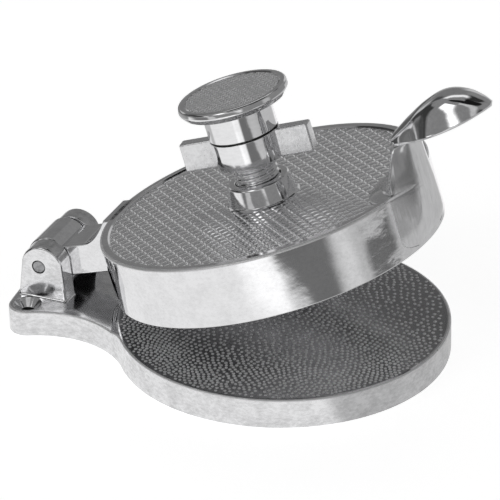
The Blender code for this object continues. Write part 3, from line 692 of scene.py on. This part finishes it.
def lid_casting():
    """Ring, cover rim, boss and hinge arm, with the ring's edge, worn and with a painted highlight, and the
    inside, darkened as painted shade, as pieces.
    """
    boss = [(BOSS_BORE, UNDER, 0.2), (BOSS_BORE, BOSS_TOP, 0.5), (BOSS_RADIUS, BOSS_TOP, 1.2),
            (BOSS_RADIUS + 1.5, COVER + 0.4, 0.5), (BOSS_FOOT, COVER, 0.2), (BOSS_FOOT + 0.3, COVER - 0.3, 0)]
    rim = [(TEX_RADIUS, COVER - 0.4, 0), (TEX_RADIUS, COVER + 0.1, 0.05), (RIM_RADIUS, LID_TOP, 0.3),
           (LID_RADIUS - RIM_ROUND, LID_TOP, 0)]
    wall = [(LID_RADIUS, LID_TOP - RIM_ROUND, 0), (LID_RADIUS, LID_LOW, 0.5), (INNER_RADIUS, LID_LOW, 0.5),
            (INNER_RADIUS, LID_LOW + LEDGE, 0)]
    hollow = [(INNER_RADIUS, LID_LOW + LEDGE, 0), (INNER_RADIUS, UNDER, 1.2), (BOSS_BORE, UNDER, 0)]
    lid, edge, cavity, arm = Part(), Part(), Part(), Part()
    for profile in (boss, rim, wall):
        lid.revolve(soften(profile, 6, closed=False), flip=True)
    edge.revolve(arc(LID_RADIUS - RIM_ROUND, LID_TOP - RIM_ROUND, RIM_ROUND, QUARTER, 0, 7), flip=True)
    piece("lid_edge", edge, WORN_HIGHLIT_METAL, *ON_LID)
    cavity.revolve(soften(hollow, 6, closed=False), flip=True)
    # The inside is darker: painted shade
    piece("lid_inside", cavity, INSIDE_SHADE_METAL, *ON_LID)
    arm.slab(arm_outline(), -KNUCKLE_HALF, KNUCKLE_HALF, top=0.7, bottom=0.7, holes=[PIN_HOLE])
    arm.lay()
    lid.join(arm)
    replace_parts(piece("lid_body", lid, LID_METAL, *ON_LID), "lid_casting")


def lid_knurl():
    """The cover's waffle, with a plain patch at the root of the lever."""
    pitch, lip_high = 3.73, 0.28
    shares = np.array([0, 0.04, 0.08, 0.15, 0.35, 0.5, 0.65, 0.85, 0.92, 0.96])
    X, Y, H = waffle(pitch, shares, int(TEX_RADIUS / pitch) + 3, 0.15, lip_high, 0.13)
    c = math.cos(math.pi / 4)
    outwards, sideways = c * (0.28 * pitch), c * 0.3 * pitch
    X, Y = X + outwards - sideways, Y + outwards + sideways
    patch_x, patch_long, patch_wide, patch_sharp = 66, 18.5, 25.0, 14
    far = np.clip((np.hypot((X - patch_x) / patch_long, Y / patch_wide) - 1) * patch_sharp, 0, 1)
    pattern = (X, Y, H * far + lip_high * (1 - far))
    textured(pattern, BOSS_FOOT - 0.3, TEX_RADIUS + 0.2, COVER - 0.24, "lid_knurl", LID_TEX, "lid",
             "lid_casting")


lid_casting()
lid_knurl()

# Handle: lug, stem and spoon, with the CAD's shares and finer, softened sections.
# Shares of the lug's height, of how proud it stands and of its corner's half width
LUG = ((0.03, -0.06, 0.98), (0.09, 0.06, 1.02), (0.16, 0.36, 1.04), (0.25, 0.64, 1.01),
       (0.36, 0.82, 0.95), (0.56, 0.91, 0.86), (0.80, 0.99, 0.75), (0.935, 0.98, 0.71))
# Shares of the stem's height, of how far out its inner face is and how wide, then as in the lug
STEM = ((-0.060, 0.0, 1.0, 0.98, 0.705), (-0.020, 0.10, 0.985, 0.98, 0.70), (0.015, 0.27, 0.83, 0.97, 0.695),
        (0.045, 0.38, 0.66, 0.97, 0.69), (0.120, 0.53, 0.608, 0.97, 0.67), (0.220, 0.67, 0.582, 0.96, 0.645),
        (0.410, 0.76, 0.50, 0.95, 0.60), (0.630, 0.87, 0.31, 0.95, 0.58), (0.800, 0.95, 0.12, 0.95, 0.58),
        (0.845, 0.97, 0.03, 0.95, 0.58), (0.900, 0.98, 0.0, 0.95, 0.58))
LUG_HALF = 21.9
LUG_HEIGHT = 23.6
PROUD = 4.5
CORNER = 10.4
CROWN = 0.8
SUNK = 0.5
STEM_HEIGHT = 19.0
ROOT_X = 48.0
FACE_X = 60.9
ROOT_HALF = 22.2
TOP_HALF = 6.4
# Stations along the spoon, with shares of its crest's rise and of the drop to its rim
STATION = (0.0, 0.17, 0.37, 0.57, 0.77, 0.93, 1.0)
CREST = (0.590, 0.750, 0.908, 1.0, 0.962, 0.850, 0.780)
DROP = (0.14, 0.62, 0.885, 1.0, 0.74, 0.28, 0.03)
SPOON_LONG = 40.0
SPOON_RISE = 32.4
SPOON_DROP = 11.6
SPOON_X = FACE_X - 0.4
CREST_SINK = 0.35
WIDEST = 18.1
HALF_WIDE = 12.6
WALL = 2.6
# Points along a flank, across the crowned face and across the inner face
FLANK_N = 22
CROWN_N = 30
FACE_N = 44


def follow(stations, values, at):
    """A smooth value between stations, as a cubic through them."""
    i = max(k for k in range(len(stations) - 1) if stations[k] <= at or k == 0)

    def slope(k):
        low, high = max(k - 1, 0), min(k + 1, len(values) - 1)
        return (values[high] - values[low]) / (stations[high] - stations[low])

    span = stations[i + 1] - stations[i]
    t = (at - stations[i]) / span
    rise = values[i + 1] - values[i]
    return (values[i] + rise * t * t * (3 - 2 * t)
            + span * (t * (1 - t) ** 2 * slope(i) - t * t * (1 - t) * slope(i + 1)))


def outer_side(seam, proud, half, hollow):
    """Flank from the seam to the corner, then the crowned face, and the flank on the far side."""
    dip = 0.1
    corner_y = CORNER * half
    corner = np.array((math.sqrt(LID_RADIUS ** 2 - corner_y ** 2) + PROUD * proud, corner_y))
    middle = (seam + corner) / 2 - dip * PROUD * hollow
    t = np.linspace(0, 1, FLANK_N)[:, None]
    flank = seam * (1 - t) ** 2 + middle * 2 * t * (1 - t) + corner * t ** 2
    s = np.linspace(1, -1, CROWN_N)[1:-1]
    crown = np.stack([corner[0] + CROWN * (1 - s * s), corner[1] * s], -1)
    return np.concatenate([flank, crown, (flank * (1, -1))[::-1]])


def lug_ring(rise, proud, half):
    """Plan of the lug at a share of its height, its back sunk in the ring's wall."""
    sunk, back = LID_RADIUS - SUNK, LID_RADIUS - 2.5
    angle = math.asin(LUG_HALF / sunk)
    side = outer_side(np.array((sunk * math.cos(angle), LUG_HALF)), proud, half, proud)
    ring = np.concatenate([side, arc(0, 0, back, -angle, angle, FACE_N - 1)])
    return np.column_stack([ring, np.full(len(ring), LID_LOW + LUG_HEIGHT * rise)])


def stem_ring(rise, inner, spread, proud, half):
    """Plan of the stem at a share of its height, its inner face wide at the root and narrow at the top."""
    inner_x = ROOT_X + (FACE_X - ROOT_X) * inner
    inner_half = TOP_HALF + (ROOT_HALF - TOP_HALF) * spread
    wall = math.sqrt((LID_RADIUS - SUNK) ** 2 - inner_half ** 2)
    top_rise = STEM[-1][0]
    seam = wall + (FACE_X - wall) * max(rise, 0) / top_rise
    side = outer_side(np.array((seam, inner_half)), proud, half, spread)
    places = np.sin(np.linspace(-1, 1, FACE_N + 2)[1:-1] * QUARTER)
    face = np.stack([inner_x + (seam - inner_x) * places ** 4, inner_half * places], -1)
    ring = np.concatenate([side, face])
    return np.column_stack([ring, np.full(len(ring), LID_TOP + STEM_HEIGHT * rise)])


def spoon_at(share):
    """Where the spoon is at a share of its length: x, height of its crest, drop to its rim, half width."""
    x = SPOON_X + SPOON_LONG * share
    crest = LID_TOP + SPOON_RISE * follow(STATION, CREST, share) - CREST_SINK * math.sin(math.pi * share)
    drop = SPOON_DROP * follow(STATION, DROP, share)
    along = SPOON_LONG * share
    lead = (along - WIDEST) / (SPOON_LONG - WIDEST)
    if lead > 0:
        return x, crest, drop, HALF_WIDE * math.sqrt(max(1 - lead ** 2, 0))
    grow = (1 - math.cos(math.pi * along / WIDEST)) / 2
    root = TOP_HALF + 0.4
    return x, crest, drop, root + (HALF_WIDE - root) * grow


def section(t, share):
    """How far the spoon's crown has fallen at a share of its half width: gentle, then over a soft crease.

    The crease starts at the spoon's rim, at its root, and runs up to a little beyond the middle of each side.
    """
    gentle, evens_out, steep, crease_wide = 0.55, 0.55, 0.9, 0.10
    crease_at, root_shift, root_share = 0.53, 0.29, 0.35
    u = np.linspace(0, 1, 201)
    crease = crease_at + root_shift * max(1 - max(share, 0) / root_share, 0)
    over = np.clip((u - crease) / crease_wide, 0, 1)
    slope = gentle * np.minimum(u, evens_out) + steep * over * over * (3 - 2 * over)
    fall = np.concatenate([[0], np.cumsum((slope[1:] + slope[:-1]) / 2)])
    return np.interp(t, u, fall / fall[-1])


def between(rows, steps):
    """More rows on smooth curves through the given ones."""
    rows = np.asarray(rows)
    n = len(rows)
    out = []
    for i in range(n - 1):
        a, b, c, d = rows[max(i - 1, 0)], rows[i], rows[i + 1], rows[min(i + 2, n - 1)]
        for k in range(steps):
            t = k / steps
            out.append(0.5 * (2 * b + (c - a) * t + (2 * a - 5 * b + 4 * c - d) * t ** 2
                              + (3 * b - a - 3 * c + d) * t ** 3))
    return np.array(out + [rows[-1]])


def smoothed(rows, times, around=None):
    """Soften each closed row along its length, everywhere or only round some places."""
    reach, full = 7, 1.2
    weight = np.ones(rows.shape[1])
    if around is not None:
        index = np.arange(rows.shape[1])
        weight = np.clip(full - np.min([np.abs(index - a) for a in around], 0) / reach, 0, 1)
    for _ in range(times):
        even = (np.roll(rows, 1, 1) + 2 * rows + np.roll(rows, -1, 1)) / 4
        rows = rows + (even - rows) * weight[None, :, None]
    return rows


def handle_rows():
    """Rows of the lug and the stem, softened round their corners and then from row to row.

    The last rounds soften only the outer side, so that the inner face and the seam keep their places.
    """
    finer, even_rounds, corner_rounds, row_rounds, whole_rounds, seam = 5, 2, 14, 30, 3, 3
    rows = between([lug_ring(*row) for row in LUG] + [stem_ring(*row) for row in STEM], finer)
    far = FLANK_N + CROWN_N - 2
    rows = smoothed(rows, even_rounds)
    rows = smoothed(rows, corner_rounds, (FLANK_N - 1, far))
    outer = np.zeros(rows.shape[1])
    outer[seam:far + FLANK_N - seam] = 1.0
    for step in range(row_rounds):
        even = (rows[:-2] + 2 * rows[1:-1] + rows[2:]) / 4
        even[:, :, 2] = rows[1:-1, :, 2]
        share = np.ones(rows.shape[1]) if step < whole_rounds else outer
        rows[1:-1] += (even - rows[1:-1]) * share[None, :, None]
    return rows


def stem_caps(last):
    """Rows that close the stem's top inside the spoon, half a wall below its crown."""
    middle = last[:, 0].mean()
    caps = []
    for spread in (1.0, 0.65, 0.25):
        cap = last.copy()
        cap[:, 0] = middle + (cap[:, 0] - middle) * spread
        cap[:, 1] *= spread
        for p in cap:
            share = (p[0] - SPOON_X) / SPOON_LONG
            _, crest, drop, half = spoon_at(share)
            p[2] = crest - drop * section(abs(p[1]) / half, share) - WALL / 2
        caps.append(cap)
    return caps


def lid_handle():
    """Lug and stem in one skin, closed at both ends, and the seam line beside it."""
    rows = handle_rows()
    rows = np.concatenate([rows, stem_caps(rows[-1])])
    handle = Part()
    handle.grid(rows, closed=True)
    handle.add(rows[0], [range(len(rows[0]))], flip=True)
    handle.add(rows[-1], [range(len(rows[-1]))])
    piece("lid_handle", handle, HANDLE_METAL, *ON_LID, sharp=60)
    lid_seam(rows)


def lid_seam(rows):
    """The fine raised line where the lug's flanks leave the ring's wall."""
    low, high, thick = LID_LOW + 1, LID_TOP - 0.7, 0.22
    line = []
    for row in rows:
        out = np.hypot(row[:FLANK_N, 0], row[:FLANK_N, 1]) - LID_RADIUS
        if low < row[0, 2] < high and out.max() > 0:
            k = int(np.argmax(out > 0))
            share = out[k - 1] / (out[k - 1] - out[k])
            line.append(row[k - 1] + (row[k] - row[k - 1]) * share)
    turn = np.linspace(0, TAU, 8, endpoint=False)
    bead = Part()
    for side in (-1, 1):
        path = np.array(line) * (1, side, 1)
        bead.grid(path[:, None] + thick * np.stack([np.cos(turn), np.sin(turn), 0 * turn], -1), closed=True)
    # The bead takes the same near-white metal: a painted highlight along the seam
    piece("lid_seam", bead, HIGHLIGHT_METAL, *ON_LID, sharp=80)


def lid_spoon():
    """The domed spoon with its hollow underside, thicker towards its root, where it closes over the stem."""
    count, across = 64, 41
    rim, root_thick, root_share, tip_gap = 0.8, 1.8, 0.2, 0.0002
    t = np.sin(np.linspace(-1, 1, across) * QUARTER)
    rings = []
    for k in range(count + 1):
        share = (1 - math.cos(math.pi * k / count)) / 2
        x, crest, drop, half = spoon_at(min(share, 1 - tip_gap))
        inner = max(half - WALL / 2, half / 2)
        root = max(1 - share / root_share, 0) ** 2
        drop += root_thick * root
        hollow = max(drop + rim - WALL - SPOON_DROP * root, 0)
        x = np.full(across, x)
        outer_face = np.stack([x, half * t, crest - drop * section(np.abs(t), share)], -1)
        inner_face = np.stack([x, inner * t[::-1], crest - drop - rim + hollow * (1 - t * t)], -1)
        rings.append(np.concatenate([outer_face, inner_face]))
    rings = smoothed(np.array(rings), 2)
    spoon = Part()
    spoon.grid(rings, closed=True)
    spoon.add(rings[0], [range(2 * across)], flip=True)
    spoon.add(rings[-1], [range(2 * across)])
    piece("lid_spoon", spoon, SPOON_METAL, *ON_LID, sharp=50)


lid_handle()
lid_spoon()

# Wing nut with its thread
WINGS_TURN = math.radians(8)
WING_FROM = 10.5
WING_TO = 25.4
WING_HALF = 3.05
WING_CORNER = 0.9
WING_DRAFT = 0.16
SLEEVE_RADIUS = 7.75


def thread():
    """Rows of points round the sleeve with one helix of crests, which fade out at both ends."""
    pitch, crest, flat_share, steep, gap = 2.0, 0.65, 0.8, 2.4, 0.125
    low_end, top_end, fade_long = 0.4, 0.5, 0.6
    t = np.linspace(0, TAU, 97)
    z = np.arange(SLEEVE_LOW, HUB_LOW + 0.05, gap)
    turns = (z[:, None] - t[None, :] / TAU * pitch) / pitch % 1.0
    fade = np.clip(np.minimum(z - SLEEVE_LOW - low_end, HUB_LOW - top_end - z)[:, None] / fade_long, 0, 1)
    flank = np.clip(1 - np.abs(turns - 0.5) * steep, 0, flat_share) / flat_share
    radius = SLEEVE_RADIUS + crest * flank * fade
    return np.stack([radius * np.cos(t), radius * np.sin(t), z[:, None] + 0 * t], -1)


def wing_nut():
    """Hub and threaded sleeve, with two wings that stand 8 degrees round and taper upwards."""
    hub = [(ROD_BORE, HUB_TOP, 0.2), (HUB_RADIUS, HUB_TOP, 0.2), (HUB_RADIUS, HUB_LOW, 0.6),
           (SLEEVE_RADIUS + 0.25, HUB_LOW, 0)]
    nut = Part()
    nut.revolve(soften(hub, 5, closed=False), flip=True)
    nut.grid(thread(), flip=True)
    nut.revolve([(SLEEVE_RADIUS, SLEEVE_LOW), (ROD_BORE, SLEEVE_LOW), (ROD_BORE, HUB_TOP)], 96, flip=True)
    for side, word in ((-1, "left"), (1, "right")):
        near, far = sorted((side * WING_FROM, side * WING_TO))
        plan = [(x, y * WING_HALF, WING_CORNER) for x, y in ((near, -1), (far, -1), (far, 1), (near, 1))]
        wing = Part()
        wing.slab(dense(soften(plan, 4), 2.0), HUB_LOW, HUB_TOP, top=0.6, bottom=0.6)
        for v in wing.verts:
            v[:, 1] *= 1 - WING_DRAFT * (v[:, 2] - HUB_LOW) / (HUB_TOP - HUB_LOW)
        wing.turn(WINGS_TURN)
        piece("nut_wing_" + word, wing, SATIN, "adjuster", LID, "wing_nut")
    nut.turn(WINGS_TURN)
    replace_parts(piece("nut_dress", nut, BRIGHT, "adjuster", LID, "wing_nut"), "wing_nut")


def thrust_washer():
    """The thin dark washer between hub and shank."""
    low, high, radius = 60.75, 61.15, 12.7
    profile = [(ROD_BORE, high, 0), (radius, high, 0.1), (radius, low, 0.1), (ROD_BORE, low, 0),
               (ROD_BORE, high, 0)]
    washer = Part()
    washer.revolve(soften(profile, 3, closed=False), 160, flip=True)
    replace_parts(piece("washer_dress", washer, BLACK, "washer", LID, "thrust_washer"), "thrust_washer")


wing_nut()
thrust_washer()

# Knob: a disc on a hollow shank, with the rod's socket inside it
KNOB_RADIUS = 21.0
FACE_RADIUS = 17.8
DISC_RADIUS = 19.3
SHANK_INNER = 10.1
SOCKET_RADIUS = 6.8
SOCKET_LOW = 61.7
SOCKET_TOP = 70.6
HOLLOW_TOP = 70.8


def knob_body():
    """Disc, shank and socket of the knob."""
    profile = [(ROD_BORE, SOCKET_LOW, 0), (SOCKET_RADIUS, SOCKET_LOW, 0.2), (SOCKET_RADIUS, HOLLOW_TOP, 0.3),
               (SHANK_INNER, HOLLOW_TOP, 0.5), (SHANK_INNER, SHANK_LOW, 0.2), (HUB_RADIUS, SHANK_LOW, 0.2),
               (HUB_RADIUS, KNOB_LOW, 0.8), (DISC_RADIUS, KNOB_LOW, 0.8), (KNOB_RADIUS, KNOB_LOW + 2.2, 1.4),
               (KNOB_RADIUS - 0.5, KNOB_TOP - 0.1, 1.6), (FACE_RADIUS + 0.8, KNOB_TOP, 0.5),
               (FACE_RADIUS, KNOB_TOP - 0.3, 0)]
    knob = Part()
    knob.revolve(soften(profile, 8, closed=False), flip=True)
    knob.revolve([(ROD_BORE, SOCKET_LOW), (ROD_BORE, SOCKET_TOP), (0, SOCKET_TOP)], 64)
    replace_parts(piece("knob_dress", knob, BRIGHT, "plunger", LID, "knob"), "knob")


def knob_face():
    """The fine waffle on top of the knob."""
    pitch = 2.3
    shares = np.array([0, 0.06, 0.13, 0.2, 0.35, 0.5, 0.65, 0.8, 0.87, 0.94])
    pattern = waffle(pitch, shares, int(FACE_RADIUS / pitch) + 2, 0.2, 0.20, 0.06)
    textured(pattern, 0, FACE_RADIUS + 0.1, KNOB_TOP - 0.42, "knob_face", KNOB_TEX, "plunger", "knob")


def press_plate():
    """The plate inside the ring, with its countersunk hole, seen from below, in a darker metal: painted shade
    under the lid.
    """
    radius, hole, sink, sink_depth = 57.4, 2.3, 4.5, 2.2
    profile = [(hole, PLATE_TOP, 0.1), (radius, PLATE_TOP, 0.8), (radius, PLATE_LOW, 0.8),
               (sink, PLATE_LOW, 0.1), (hole, PLATE_LOW + sink_depth, 0.1), (hole, PLATE_TOP, 0)]
    plate = Part()
    plate.revolve(soften(profile, 5, closed=False), flip=True)
    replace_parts(piece("plate_dress", plate, PLATE_SHADE_METAL, "plunger", LID, "press_plate"), "press_plate")


knob_body()
knob_face()
press_plate()
# The rod and the screw keep the solids of the CAD, and only take on the look of steel
for name in ("plunger_rod", "plate_screw"):
    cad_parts[name].data.materials.clear()
    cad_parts[name].data.materials.append(STEEL)


# Floor and light. Polished metal shows what it mirrors: here softboxes, dark screens and a table with bright
# and dark patches, all drawn. The floor and the sky that the camera itself sees are plain white.

def maths(nt, operation, *values):
    """The result of a sum on sockets or numbers."""
    return node(nt, "Math", dict(enumerate(values)), operation=operation).outputs["Value"]


def degrees(nt, angle):
    """An angle in radians as degrees."""
    return maths(nt, "MULTIPLY", angle, 180 / math.pi)


def within(nt, value, half, soft):
    """1 where a value is nearer to 0 than half, easing to 0 over soft."""
    away = maths(nt, "ABSOLUTE", value)
    return mapped(nt, away, half - soft / 2, half + soft / 2, 1.0, 0.0, interpolation_type="SMOOTHSTEP")


def patches(nt, light, bearing, across, places, soft):
    """Lay patches over a light, each with its middle and size on the bearing and on a second measure."""
    soft_turn = 8.0
    for turn, middle, wide, high, level in places:
        aside = maths(nt, "WRAP", maths(nt, "SUBTRACT", bearing, turn), 180.0, -180.0)
        apart = maths(nt, "SUBTRACT", across, middle)
        near = within(nt, aside, wide / 2, soft_turn)
        mask = maths(nt, "MULTIPLY", near, within(nt, apart, high / 2, soft))
        light = node(nt, "Mix", {"Factor": mask, "A": light, "B": level}, data_type="FLOAT").outputs["Result"]
    return light


def camera_sees(nt):
    """1 on what the camera sees directly, 0 on what is mirrored."""
    return node(nt, "LightPath").outputs["Is Camera Ray"]


# Each patch of the table: bearing of its middle about the press in degrees (0 towards the lever, -66 towards
# the camera), distance of its middle in mm, its width in degrees, its depth in mm, and its brightness
TABLE_LIGHT = 0.52
TABLE = ((-80, 600, 40, 1200, 0.95), (-46, 650, 36, 760, 0.16), (-110, 140, 124, 400, 0.86),
         (-72, 280, 24, 120, 1.15), (7, 1000, 24, 460, 0.12), (-18, 900, 11, 900, 0.68),
         (145, 460, 90, 480, 0.24), (92, 240, 40, 260, 0.95), (-150, 600, 60, 560, 0.18),
         (150, 1700, 60, 2300, 0.10), (-165, 1100, 34, 900, 0.14))
TABLE_SOFT = 120.0


def table_white():
    """Plain white floor for the camera, and the table's bright and dark patches for the metal to mirror."""
    made, nt, shader = tree("floor_white")
    where = node(nt, "TexCoord").outputs["Object"]
    nt.links.new(mapped(nt, noise(nt, where, 4.0, 2.0), 0.0, 1.0, 0.75, 0.9), shader.inputs["Roughness"])
    shader.inputs["Base Color"].default_value = (0.8, 0.8, 0.8, 1.0)
    shader.inputs["Emission Color"].default_value = (1.0, 1.0, 1.0, 1.0)
    shader.inputs["Emission Strength"].default_value = 0.80
    xyz = node(nt, "SeparateXYZ", {"Vector": where}).outputs
    bearing = degrees(nt, maths(nt, "ARCTAN2", xyz["Y"], xyz["X"]))
    metres = node(nt, "VectorMath", {0: where}, operation="LENGTH").outputs["Value"]
    glow = patches(nt, TABLE_LIGHT, bearing, maths(nt, "MULTIPLY", metres, 1000.0), TABLE, TABLE_SOFT)
    mirrored = node(nt, "Emission", {"Strength": glow}).outputs["Emission"]
    both = node(nt, "MixShader", {0: camera_sees(nt), 1: mirrored, 2: shader.outputs["BSDF"]})
    nt.links.new(both.outputs["Shader"], nt.nodes["Material Output"].inputs["Surface"])
    return made


def white_floor():
    """The floor, in metres, a hair below the press."""
    half, low = 4, -0.0002
    mesh = bpy.data.meshes.new("floor")
    mesh.from_pydata([(-half, -half, low), (half, -half, low), (half, half, low), (-half, half, low)], [],
                     [(0, 1, 2, 3)])
    floor = bpy.data.objects.new("floor", mesh)
    bpy.context.scene.collection.objects.link(floor)
    mesh.materials.append(table_white())


# Each softbox or dark screen: bearing and height of its middle, its width and height, all in degrees, and
# its brightness
ROOM_LIGHT = 0.23
ROOM = ((-171, 18, 50, 20, 0.04), (170, 7, 34, 16, 0.05), (-150, 4, 34, 12, 0.07), (4, 26, 18, 34, 0.46),
        (-16, 4, 40, 10, 0.12), (-70, 57, 60, 9, 0.55), (88, 60, 16, 40, 0.03), (-40, 82, 280, 36, 0.01),
        (-82, 18, 56, 10, 0.75), (-133, 11, 12, 6, 1.6), (128, 24, 52, 36, 0.19), (148, 30, 16, 22, 0.07),
        (124, 51, 56, 9, 0.95), (98, 8, 20, 22, 0.55), (152, 6, 20, 14, 0.55), (-117, 38, 26, 18, 1.7))
ROOM_SOFT = 4.0


def studio():
    """The room round the press, as the world's light."""
    world = bpy.data.worlds.new("studio")
    bpy.context.scene.world = world
    world.use_nodes = True
    nt = world.node_tree
    way = node(nt, "SeparateXYZ", {"Vector": node(nt, "TexCoord").outputs["Generated"]}).outputs
    height = degrees(nt, maths(nt, "ARCSINE", way["Z"]))
    bearing = degrees(nt, maths(nt, "ARCTAN2", way["Y"], way["X"]))
    light = patches(nt, ROOM_LIGHT, bearing, height, ROOM, ROOM_SOFT)
    light = node(nt, "Mix", {"Factor": camera_sees(nt), "A": light, "B": 1.0}, data_type="FLOAT")
    nt.links.new(light.outputs["Result"], nt.nodes["Background"].inputs["Color"])
    nt.nodes["Background"].inputs["Strength"].default_value = 1.0


def photo_camera():
    """The camera fitted to the photograph, which is 500 pixels wide."""
    bearing, tilt, roll = math.radians(23.893), math.radians(27.747), math.radians(-0.91)
    aim, distance = Vector((-13.186, 0, 37.353)), 1672.97
    focal_pixels, photo_pixels, sensor = 4509.9, 500, 36
    back = Vector((math.sin(bearing) * math.cos(tilt), -math.cos(bearing) * math.cos(tilt), math.sin(tilt)))
    right = Vector((math.cos(bearing), math.sin(bearing), 0))
    up = back.cross(right)
    right, up = right * math.cos(roll) + up * math.sin(roll), up * math.cos(roll) - right * math.sin(roll)
    data = bpy.data.cameras.new("camera")
    data.sensor_width = sensor
    data.lens = focal_pixels / photo_pixels * sensor
    data.clip_end = 20
    camera = bpy.data.objects.new("camera", data)
    bpy.context.scene.collection.objects.link(camera)
    spot = (aim + back * distance) * MM
    camera.matrix_world = Matrix.Translation(spot) @ Matrix((right, up, back)).transposed().to_4x4()
    return camera


white_floor()
studio()
bpy.context.scene.camera = photo_camera()
bpy.context.scene.view_settings.view_transform = "Standard"
